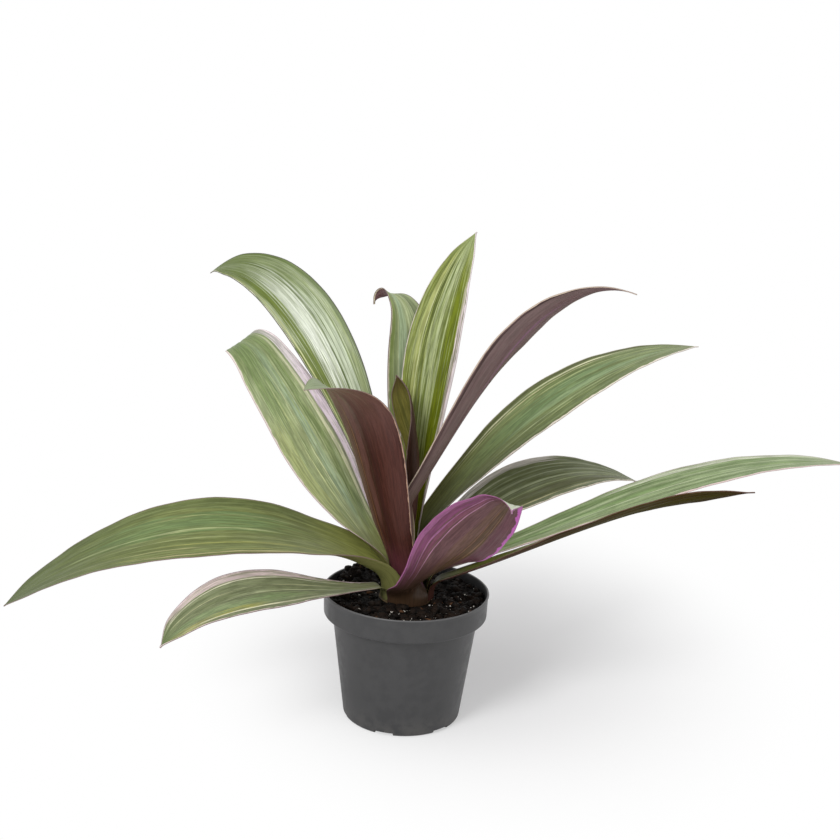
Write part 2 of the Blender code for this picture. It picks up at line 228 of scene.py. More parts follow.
@cache
def venation() -> NodeTree:
    """Draw a leaf's lengthwise veins: lines, broad streaks, hair lines, blotches, flecks and a wander.

    Returns:
        The group.
    """
    results = "Streak, Vein, Hair, Blotch, Fleck, Wander, Relief"
    sheet = GroupSheet("venation", "Share", "Seed, Fineness", results)
    across, along, _ = sheet.split(sheet.given["Share"])
    across = sheet.times(across, sheet.given["Fineness"])

    def drawn(pitch: float, pace: float, shift: float, detail: float) -> NodeSocket:
        """Return noise drawn out along the leaf, at a pitch across it and a pace along it."""
        place = sheet.times(across, pitch), sheet.times(along, pace), sheet.plus(sheet.given["Seed"], shift)
        return sheet.noise(sheet.combine(*place), 1.0, detail, 0.6)

    vein = drawn(0.8, 2.4, 7.3, 3.0)
    hair = drawn(1.1, 3.6, 3.1, 2.0)
    sheet.put("Streak", sheet.fit(drawn(0.32, 2.6, 0.0, 4.0), 0.49, 0.57))
    sheet.put("Vein", sheet.fit(vein, 0.53, 0.60))
    sheet.put("Hair", sheet.fit(hair, 0.54, 0.61))
    sheet.put("Blotch", sheet.fit(drawn(0.16, 7.0, 21.9, 3.0), 0.42, 0.60))
    sheet.put("Fleck", sheet.fit(drawn(0.75, 16.0, 5.9, 3.0), 0.41, 0.59))
    sheet.put("Wander", sheet.minus(drawn(0.02, 3.2, 11.7, 1.0), 0.5))
    sheet.put("Relief", sheet.plus(sheet.times(vein, 0.6), sheet.times(hair, 0.4)))
    return sheet.tree


BAND_WANDER = 0.07  # how far a stripe strays sideways
BAND_RAGS = 0.4  # how far its ends run out unevenly
BAND_FADE = 0.05  # how softly it starts and ends


@cache
def band() -> NodeTree:
    """Draw the mask of one lengthwise stripe with wandering edges, ragged ends and broken places.

    Returns:
        The group.
    """
    sheet = GroupSheet("band", "Share", "Seed, Centre, Half Width, Soft, Start, End, Broken", "Mask")
    given = sheet.given
    across, along, _ = sheet.split(given["Share"])
    seed = sheet.plus(given["Seed"], sheet.times(given["Centre"], 9.0))

    def uneven(pitch: float, pace: float, shift: float) -> NodeSocket:
        """Return noise of about -0.5 to 0.5, drawn out along the leaf."""
        place = sheet.times(across, pitch), sheet.times(along, pace), sheet.plus(seed, shift)
        return sheet.minus(sheet.noise(sheet.combine(*place), 1.0, 2.0, 0.6), 0.5)

    fine = uneven(46.0, 5.0, 2.0)
    lane = sheet.minus(sheet.times(across, 2.0), 1.0)
    lane = sheet.plus(lane, sheet.times(uneven(0.5, 4.0, 0.0), BAND_WANDER))
    distance = sheet.math("ABSOLUTE", sheet.minus(lane, given["Centre"]), 0.0)
    distance = sheet.plus(distance, sheet.times(fine, sheet.times(given["Soft"], 4.0)))
    fringe = sheet.times(given["Soft"], 0.25)
    inner = sheet.minus(given["Half Width"], fringe)
    inside = sheet.fit(distance, inner, sheet.plus(given["Half Width"], fringe), 1.0, 0.0)
    ragged = sheet.plus(along, sheet.times(fine, BAND_RAGS))
    begun = sheet.fit(sheet.minus(ragged, given["Start"]), -BAND_FADE, BAND_FADE)
    ended = sheet.fit(sheet.minus(ragged, given["End"]), -BAND_FADE, BAND_FADE, 1.0, 0.0)
    gaps = sheet.times(sheet.fit(uneven(24.0, 9.0, 5.0), -0.04, 0.12), given["Broken"])
    shown = sheet.times(sheet.times(inside, begun), ended)
    sheet.put("Mask", sheet.times(shown, sheet.minus(1.0, gaps)))
    return sheet.tree


@cache
def margins() -> NodeTree:
    """Draw the masks of the coloured line and of the thin rim along a leaf's two margins.

    Returns:
        The group.
    """
    results = "Near, Far, Near Rim, Far Rim"
    sheet = GroupSheet("margins", "Reach, Share", "Near Width, Far Width, Rim", results)
    near, far, _ = sheet.split(sheet.given["Reach"])
    _, along, _ = sheet.split(sheet.given["Share"])
    begun = sheet.fit(along, 0.06, 0.16)
    for label, distance, shift in (("Near", near, 0.0), ("Far", far, 4.0)):
        uneven = sheet.noise(sheet.combine(along, shift, 0.0), 22.0, 3.0)
        width = sheet.times(sheet.given[label + " Width"], sheet.fit(uneven, 0.3, 0.7, 0.55, 1.45))
        line = sheet.fit(distance, sheet.times(width, 0.75), sheet.plus(width, 0.001), 1.0, 0.0)
        sheet.put(label, sheet.times(line, begun))
        rim = sheet.minus(distance, sheet.times(sheet.given["Rim"], 0.8))
        sheet.put(label + " Rim", sheet.times(sheet.fit(rim, 0.0, 0.15, 1.0, 0.0), begun))
    return sheet.tree


@cache
def grain() -> NodeTree:
    """Draw even grain in two sizes, for moulded plastic, soil and stem.

    Returns:
        The group.
    """
    sheet = GroupSheet("grain", "Place", "Size", "Coarse, Fine, Height")
    scale = sheet.math("DIVIDE", 1.0, sheet.given["Size"])
    coarse = sheet.noise(sheet.given["Place"], sheet.times(scale, 0.12), 3.0)
    fine = sheet.noise(sheet.given["Place"], scale, 3.0, 0.6)
    sheet.put("Coarse", sheet.fit(coarse, 0.35, 0.65))
    sheet.put("Fine", sheet.fit(fine, 0.35, 0.65))
    sheet.put("Height", sheet.plus(fine, sheet.times(coarse, 0.5)))
    return sheet.tree


# ---- Leaf finishes ----

VEINS_PER_WIDTH = 0.9
VEIN_RELIEF = 0.3
VEIN_BUMP = 0.9
FOOT_STRENGTH = 0.85
TIP_STRENGTH = 0.8
SATIN_DROP = 0.08

MINT = "#96a886"
MOSS = "#607042"
DARK_OLIVE = "#4e5022"
SILVER = "#ccd3be"
CREAM = "#d8d2b2"
BLUSH = "#e8d0d6"
MAROON = "#482a24"
DEEP_MAROON = "#361e1a"
MAUVE = "#745a58"
MAGENTA = "#b060aa"
UMBER = "#3e2a16"
BRONZE = "#74603a"


@dataclass(frozen=True)
class Stripe:
    """One lengthwise stripe: its place across the leaf, -1 to 1, and its start and end along it, 0 to 1."""

    centre: float
    half_width: float
    colour: Colour
    start: float = -0.2
    end: float = 1.2
    soft: float = 0.03
    broken: float = 0.35


@dataclass(frozen=True)
class Margin:
    """The coloured line along one margin, its width in millimetres."""

    colour: Colour = CREAM
    width: float = 0.7


@dataclass(frozen=True)
class LeafSide:
    """How one side of a leaf looks."""

    ground: Colour = "#768460"
    light: Colour = MINT
    light_share: float = 0.35
    dark: Colour = MOSS
    dark_share: float = 0.45
    foot: Colour = "#6c7028"
    foot_reach: float = 0.3
    tip: Colour = MOSS
    tip_reach: float = 0.12
    near: Margin = Margin()
    far: Margin = Margin()
    rim: Colour = "#806a68"
    rim_width: float = 0.45
    mottle: float = 0.1
    roughness: float = 0.5
    specular: float = 0.2
    stripes: tuple[Stripe, ...] = ()

    def but(self, *stripes: Stripe, **changes: object) -> "LeafSide":
        """Return this side with other stripes, where any are given, and some of its values changed."""
        return replace(self, stripes=stripes or self.stripes, **changes)

    def material(self, name: str, seed: float, width: float) -> Material:
        """Make this side's material.

        Args:
            name: the material's name.
            seed: moves the pattern, so that no two leaves share one.
            width: the leaf's width in millimetres, which sets how many veins cross it.

        Returns:
            The material.
        """
        sheet = MaterialSheet(name)
        share = sheet.add("ShaderNodeUVMap", uv_map=LEAF_MAP).outputs[0]
        reach = sheet.add("ShaderNodeUVMap", uv_map=MARGIN_MAP).outputs[0]
        _, along, _ = sheet.split(share)
        veins = sheet.group(venation(), Share=share, Seed=seed, Fineness=VEINS_PER_WIDTH * width)
        lines = sheet.group(
            margins(), Reach=reach, Share=share, Near_Width=self.near.width, Far_Width=self.far.width,
            Rim=self.rim_width,
        )

        def lay(mask: NodeSocket, strength: float, over: Colour) -> NodeSocket:
            """Lay a colour over the one so far, through a mask."""
            return sheet.mix(sheet.times(mask, strength), colour, over)

        colour = sheet.mix(sheet.times(veins["Blotch"], 0.8 * self.light_share), self.ground, self.light)
        colour = lay(veins["Streak"], self.dark_share, self.dark)
        for index, stripe in enumerate(self.stripes):
            shown = sheet.group(
                band(), Share=share, Seed=seed + 3.7 * index, Centre=stripe.centre, Soft=stripe.soft,
                Half_Width=stripe.half_width, Start=stripe.start, End=stripe.end, Broken=stripe.broken,
            )
            colour = sheet.mix(shown["Mask"], colour, stripe.colour)
        colour = lay(veins["Hair"], self.light_share, self.light)
        colour = lay(veins["Vein"], self.dark_share, self.dark)
        frayed = sheet.plus(along, sheet.times(veins["Wander"], 0.5 * self.foot_reach))
        low = sheet.fit(frayed, 0.15 * self.foot_reach, self.foot_reach, FOOT_STRENGTH, 0.0)
        colour = sheet.mix(low, colour, self.foot)
        colour = sheet.mix(sheet.fit(along, 1.0 - self.tip_reach, 1.0, 0.0, TIP_STRENGTH), colour, self.tip)
        shade = sheet.fit(veins["Fleck"], 0.0, 1.0, 1.0 - self.mottle, 1.0 + self.mottle)
        colour = sheet.mix(1.0, colour, sheet.combine(shade, shade, shade), Blend.MULTIPLY)
        for label, edge in (("Near", self.near), ("Far", self.far)):
            colour = sheet.mix(lines[label], colour, edge.colour)
            colour = sheet.mix(lines[label + " Rim"], colour, self.rim)
        satin = sheet.fit(veins["Blotch"], 0.0, 1.0, self.roughness, self.roughness - SATIN_DROP)
        normal = sheet.bump(veins["Relief"], VEIN_RELIEF * MM, VEIN_BUMP)
        return sheet.dress(colour, satin, self.specular, Normal=normal)


GREEN = LeafSide()
DARK_UNDER = LeafSide(
    ground=MAROON, light="#704a52", light_share=0.22, dark=DEEP_MAROON, dark_share=0.4, foot=UMBER,
    foot_reach=0.18, tip=DEEP_MAROON, near=Margin(BRONZE, 0.5), far=Margin(BRONZE, 0.5), roughness=0.42,
    stripes=(Stripe(0.0, 0.015, BRONZE, 0.05, 0.85, 0.015),),
)
MAUVE_UNDER = DARK_UNDER.but(
    ground=MAUVE, light="#985c8a", light_share=0.3, dark=MAROON, dark_share=0.3, tip=MAUVE
)


# ---- Meshes ----


def link(name: str, data: ID) -> Object:
    """Put an object with its data into the scene.

    Args:
        name: the object's name.
        data: its mesh, lamp or camera.

    Returns:
        The object.
    """
    obj = bpy.data.objects.new(name, data)
    bpy.context.scene.collection.objects.link(obj)
    return obj


def place_mesh(name: str, bm: BMesh, *materials: Material) -> Object:
    """Put a built mesh into the scene.

    Args:
        name: the object's name.
        bm: the mesh, which is freed.
        materials: its materials in the order of its slots.

    Returns:
        The object, shaded smooth.
    """
    mesh = bpy.data.meshes.new(name)
    bm.to_mesh(mesh)
    bm.free()
    mesh.shade_smooth()
    for material in materials:
        mesh.materials.append(material)
    return link(name, mesh)


def circle(bm: BMesh, radius: float, height: Callable[[float, float], float], count: int) -> list[BMVert]:
    """Add a ring of points round the upright axis.

    Args:
        bm: the mesh that they are added to.
        radius: the ring's radius in millimetres, or 0 for one point on the axis.
        height: gives the height in millimetres at x and y.
        count: how many points.

    Returns:
        The points.
    """
    ring = []
    for step in range(count if radius > 0.0 else 1):
        angle = 2.0 * math.pi * step / count
        x, y = radius * math.cos(angle), radius * math.sin(angle)
        ring.append(bm.verts.new(Vector((x, y, height(x, y))) * MM))
    return ring


def bridge(bm: BMesh, rings: list[list[BMVert]]) -> None:
    """Cover the gaps between neighbouring rings of points with faces.

    Args:
        bm: the mesh that the faces are added to.
        rings: the rings, each with the same count of points or with one.
    """
    for lower, upper in zip(rings, rings[1:]):
        for step in range(max(len(lower), len(upper))):
            corners = [lower[step % len(lower)], lower[(step + 1) % len(lower)]]
            corners += [upper[(step + 1) % len(upper)], upper[step % len(upper)]]
            bm.faces.new(list(dict.fromkeys(corners)))
    bmesh.ops.recalc_face_normals(bm, faces=bm.faces)


# ---- Leaf shape ----

SOIL_LEVEL = 90.0
STEM_RADIUS = 20.1
STEM_TAPER = 1.1
STEM_HEIGHT = 17.2
SEAT_GAP = 0.6
LEAF_THICKNESS = 1.0
LEAF_MARGIN_THICKNESS = 0.55
LEAF_TIP_WIDTH = 1.4
LEAF_POINT = 0.09  # fraction of the length over which the tip closes to a point
LEAF_POINT_POWER = 0.6
LEAF_SAMPLES = 240
LEAF_ROWS = 96
LEAF_COLUMNS = 32
TURNING_WEIGHT = 0.35
TAPER_WEIGHT = 1.2
LEAF_TIP_THINNING = 0.3
EDGE_STEP = 0.35
EDGE_ROUNDING = 0.25
LEAF_SHARP_ANGLE = 62.0
SHEATH_EASE = 0.06  # fraction of the length past the sheath in which the blade turns out
SECTION_EASE = 0.25  # fraction in which the cross-section opens
TIP_FADE = 0.14  # fraction before the tip in which groove, pleats and waves fade
MARGIN_WAVE_POWER = 2.5  # keeps the waves near the margins
SHEATH_LIMIT = 138.0
GROOVE_DEPTH = 0.45
GROOVE_WIDTH = 0.07
WAVE_LENGTH = 46.0
WAVE_OFFSET = 1.7  # sets the waves of one margin apart from the other's
SECOND_WAVE = 0.4
SECOND_PITCH = 2.3
PLEAT_DEPTH = 0.14
PLEATS = 5.5


def smooth_step(values: Grid) -> Grid:
    """Ease values from 0 to 1, held to that range."""
    held = np.clip(values, 0.0, 1.0)
    return held * held * (3.0 - 2.0 * held)


def turned(first: Grid, second: Grid, angle: Grid) -> tuple[Grid, Grid]:
    """Turn two square directions in their plane, the first towards the second, by angles in degrees."""
    cos, sin = np.cos(np.radians(angle))[:, None], np.sin(np.radians(angle))[:, None]
    return cos * first + sin * second, cos * second - sin * first


@dataclass(frozen=True)
class LeafShape:
    """One leaf along its midrib: angles in degrees, lengths in millimetres, fractions of the length."""

    azimuth: float
    ring: float
    sheath: float
    length: float
    width: float
    rise: float
    arch: float
    tip: float
    lean: float = 0.0
    sweep: float = 0.0
    ease: float = 1.0
    roll: float = 0.0
    tip_roll: float = 0.0
    channel: float = 25.0
    tip_channel: float = 0.4
    base: float = 0.5
    peak: float = 0.45
    blunt: float = 1.0
    curl: float = 0.0
    curl_from: float = 0.8
    wave: float = 0.22

    def progress(self, along: Grid) -> Grid:
        """Return how far along the blade each fraction of the length is, with the leaf's ease."""
        sheath_share = self.sheath / self.length
        return np.clip((along - sheath_share) / (1.0 - sheath_share), 0.0, 1.0) ** self.ease

    def midrib(self, along: Grid) -> tuple[Grid, Grid, Grid]:
        """Lay out the midrib.

        Args:
            along: rising fractions of the leaf's length.

        Returns:
            Points, sideways directions and upper-side directions.
        """
        sheath_share = self.sheath / self.length
        progress = self.progress(along)
        opening = smooth_step((along - 0.5 * sheath_share) / (0.5 * sheath_share + SHEATH_EASE))
        pitch = (1 - progress) ** 2 * self.rise + 2 * progress * (1 - progress) * self.arch
        pitch += progress**2 * self.tip
        pitch = np.radians(90.0 * (1 - opening) + pitch * opening)
        heading = np.radians(self.azimuth + self.lean * opening + self.sweep * progress)
        level_share = np.cos(pitch)
        ahead = np.stack([level_share * np.cos(heading), level_share * np.sin(heading), np.sin(pitch)], 1)
        level = np.stack([-np.sin(heading), np.cos(heading), np.zeros_like(heading)], 1)
        roll = self.roll * smooth_step(progress / 0.5)
        roll += (self.tip_roll - self.roll) * smooth_step((progress - 0.5) / 0.5)
        sideways, upper = turned(level, np.cross(ahead, level), roll)
        curl = self.curl * np.clip((along - self.curl_from) / (1.0 - self.curl_from), 0.0, 1.0)
        upper, ahead = turned(upper, ahead, curl)
        steps = 0.5 * (ahead[1:] + ahead[:-1]) * (np.diff(along) * self.length)[:, None]
        start = math.radians(self.azimuth)
        height = (STEM_RADIUS - (self.ring - 0.5 * LEAF_THICKNESS - SEAT_GAP)) / STEM_TAPER
        foot = np.array([self.ring * math.cos(start), self.ring * math.sin(start), SOIL_LEVEL + height])
        return np.vstack([foot, foot + np.cumsum(steps, axis=0)]), sideways, upper

    def half_width(self, along: Grid) -> Grid:
        """Work out half the leaf's width.

        Args:
            along: fractions of the leaf's length.

        Returns:
            The half widths there.
        """
        swell = self.base + (1.0 - self.base) * smooth_step(along / self.peak)
        past = np.clip((along - self.peak) / (1.0 - self.peak), 0.0, 1.0)
        taper = (1.0 - past**2) ** self.blunt
        point = np.sin(0.5 * math.pi * np.clip((1.0 - along) / LEAF_POINT, 0.0, 1.0)) ** LEAF_POINT_POWER
        width = 0.5 * self.width * point * np.where(along < self.peak, swell, taper)
        return np.maximum(width, 0.5 * LEAF_TIP_WIDTH)

    def section_angle(self, along: Grid, width: Grid) -> Grid:
        """Work out the half angle of the cross-section's arc.

        Args:
            along: fractions of the leaf's length.
            width: the half widths there.

        Returns:
            The half angles in radians.
        """
        wrapped = np.minimum(width / self.ring, math.radians(SHEATH_LIMIT))
        fall = 1 + (self.tip_channel - 1) * smooth_step(self.progress(along))
        opening = smooth_step((along - 0.6 * self.sheath / self.length) / SECTION_EASE)
        return np.maximum(wrapped * (1 - opening) + np.radians(self.channel * fall) * opening, 0.02)

    def rows(self) -> Grid:
        """Choose the rows of points, closer where the midrib turns or the leaf tapers.

        Returns:
            Their fractions of the length.
        """
        along = np.linspace(0.0, 1.0, LEAF_SAMPLES)
        _, _, upper = self.midrib(along)
        turning = np.linalg.norm(np.diff(upper, axis=0), axis=1)
        tapering = np.abs(np.diff(self.half_width(along))) / self.width
        effort = np.diff(along) + TURNING_WEIGHT * turning + TAPER_WEIGHT * tapering
        effort = np.concatenate([[0.0], np.cumsum(effort)])
        return np.interp(np.linspace(0.0, effort[-1], LEAF_ROWS + 1), effort, along)

    def relief(self, along: Grid, across: Grid, seed: float) -> Grid:
        """Work out how far the sheet stands above its plain arc: groove, pleats and waved margins.

        Args:
            along: the rows' fractions of the length.
            across: the columns' places across the leaf, -1 to 1.
            seed: shifts the waves and pleats.

        Returns:
            The heights in millimetres, row by row.
        """
        blade = smooth_step((self.progress(along) - 0.12) / 0.3)[:, None]
        fade = 1.0 - smooth_step((along - (1.0 - TIP_FADE)) / TIP_FADE)[:, None]
        groove = -GROOVE_DEPTH * np.exp(-((across[None, :] / GROOVE_WIDTH) ** 2))
        phase = 2.0 * math.pi * along[:, None] * self.length / WAVE_LENGTH
        side = np.where(across >= 0.0, WAVE_OFFSET, 0.0)[None, :] + seed
        wave = np.sin(phase + side) + SECOND_WAVE * np.sin(SECOND_PITCH * phase + 2.0 * side)
        pleats = PLEAT_DEPTH * np.cos(math.pi * PLEATS * across + seed)[None, :]
        waves = self.wave * np.abs(across[None, :]) ** MARGIN_WAVE_POWER * wave
        return fade * (blade * (waves + pleats) + groove)

    def sheet(self, seed: float) -> tuple[Grid, Grid, Grid]:
        """Lay out the middle sheet.

        Args:
            seed: shifts the waves and pleats.

        Returns:
            The rows, the columns and the grid of points.
        """
        fine = np.linspace(0.0, 1.0, LEAF_SAMPLES)
        rows = self.rows()
        points, sideways, upper = [
            np.stack([np.interp(rows, fine, values[:, axis]) for axis in range(3)], 1)
            for values in self.midrib(fine)
        ]
        width = self.half_width(rows)
        angle = self.section_angle(rows, width)
        across = np.linspace(-1.0, 1.0, LEAF_COLUMNS + 1)
        arc = across[None, :] * angle[:, None]
        side = width[:, None] * np.sin(arc) / angle[:, None]
        lift = width[:, None] * (1.0 - np.cos(arc)) / angle[:, None] + self.relief(rows, across, seed)
        grid = points[:, None, :] + sideways[:, None, :] * side[:, :, None]
        return rows, across, grid + upper[:, None, :] * lift[:, :, None]


@dataclass
class Leaf:
    """One leaf: a thin closed body with an upper side and an underside."""

    name: str
    slot: str
    seed: float
    shape: LeafShape
    upper: LeafSide
    under: LeafSide

    def build(self) -> Object:
        """Build the leaf's closed mesh and dress its two sides.

        Returns:
            The leaf's object.
        """
        rows, across, grid = self.shape.sheet(self.seed)
        normal = np.cross(np.gradient(grid, axis=0), np.gradient(grid, axis=1))
        normal /= np.maximum(np.linalg.norm(normal, axis=2, keepdims=True), 1e-9)
        thinning = 1.0 - LEAF_MARGIN_THICKNESS / LEAF_THICKNESS
        half = 0.5 * LEAF_THICKNESS * (1.0 - thinning * across[None, :] ** 2)
        half = half * (1.0 - LEAF_TIP_THINNING * rows[:, None])
        rise = normal * half[:, :, None]
        edges = []
        for edge, inside in ((grid[:, -1], grid[:, -2]), (grid[:, 0], grid[:, 1])):
            step = EDGE_STEP * (edge - inside)
            reach = np.maximum(np.linalg.norm(step, axis=1, keepdims=True), 1e-9)
            share = np.minimum(1.0, EDGE_ROUNDING * LEAF_MARGIN_THICKNESS / reach)
            edges.append((edge + step * share)[:, None])
        ring = np.concatenate([grid + rise, edges[0], (grid - rise)[:, ::-1], edges[1]], axis=1) * MM
        lanes = np.concatenate([across, [1.0], across[::-1], [-1.0]])
        sides = [
            side.material(f"{self.name}_{label}", self.seed, self.shape.width)
            for label, side in (("upper", self.upper), ("under", self.under))
        ]
        obj = place_mesh(self.name + "_blade", self.skin(ring, lanes, rows), *sides)
        obj.data.set_sharp_from_angle(angle=math.radians(LEAF_SHARP_ANGLE))
        return obj

    def skin(self, ring: Grid, lanes: Grid, rows: Grid) -> BMesh:
        """Cover the rings of points with faces, close both ends and store the two leaf maps.

        Args:
            ring: points, row by row, round the leaf's cross-section.
            lanes: each ring point's place across the leaf, -1 to 1.
            rows: each row's fraction of the length.

        Returns:
            The mesh, its faces on slot 0 for the upper side and 1 for the underside.
        """
        bm = bmesh.new()
        share_map = bm.loops.layers.uv.new(LEAF_MAP)
        margin_map = bm.loops.layers.uv.new(MARGIN_MAP)
        width = self.shape.half_width(rows)
        count = ring.shape[1]
        verts = [[bm.verts.new(point) for point in line] for line in ring]
        place = {vert: (row, lane) for row, line in enumerate(verts) for lane, vert in enumerate(line)}
        faces = []
        for line, ahead in zip(verts, verts[1:]):
            for lane in range(count):
                after = (lane + 1) % count
                faces.append((bm.faces.new((line[lane], ahead[lane], ahead[after], line[after])), lane))
        last = LEAF_COLUMNS
        caps = [(lane, lane + 1, count - 3 - lane, count - 2 - lane) for lane in range(last)]
        caps += [(last, last + 1, last + 2), (count - 2, count - 1, 0)]
        for line, turn in ((verts[0], 1), (verts[-1], -1)):
            faces += [(bm.faces.new([line[lane] for lane in cap[::turn]]), 0) for cap in caps]
        for face, lane in faces:
            face.material_index = 1 if last < lane < count - 1 else 0
            for loop in face.loops:
                row, column = place[loop.vert]
                offset = lanes[column]
                loop[share_map].uv = (0.5 + 0.5 * offset, rows[row])
                loop[margin_map].uv = ((1.0 + offset) * width[row], (1.0 - offset) * width[row])
        return bm


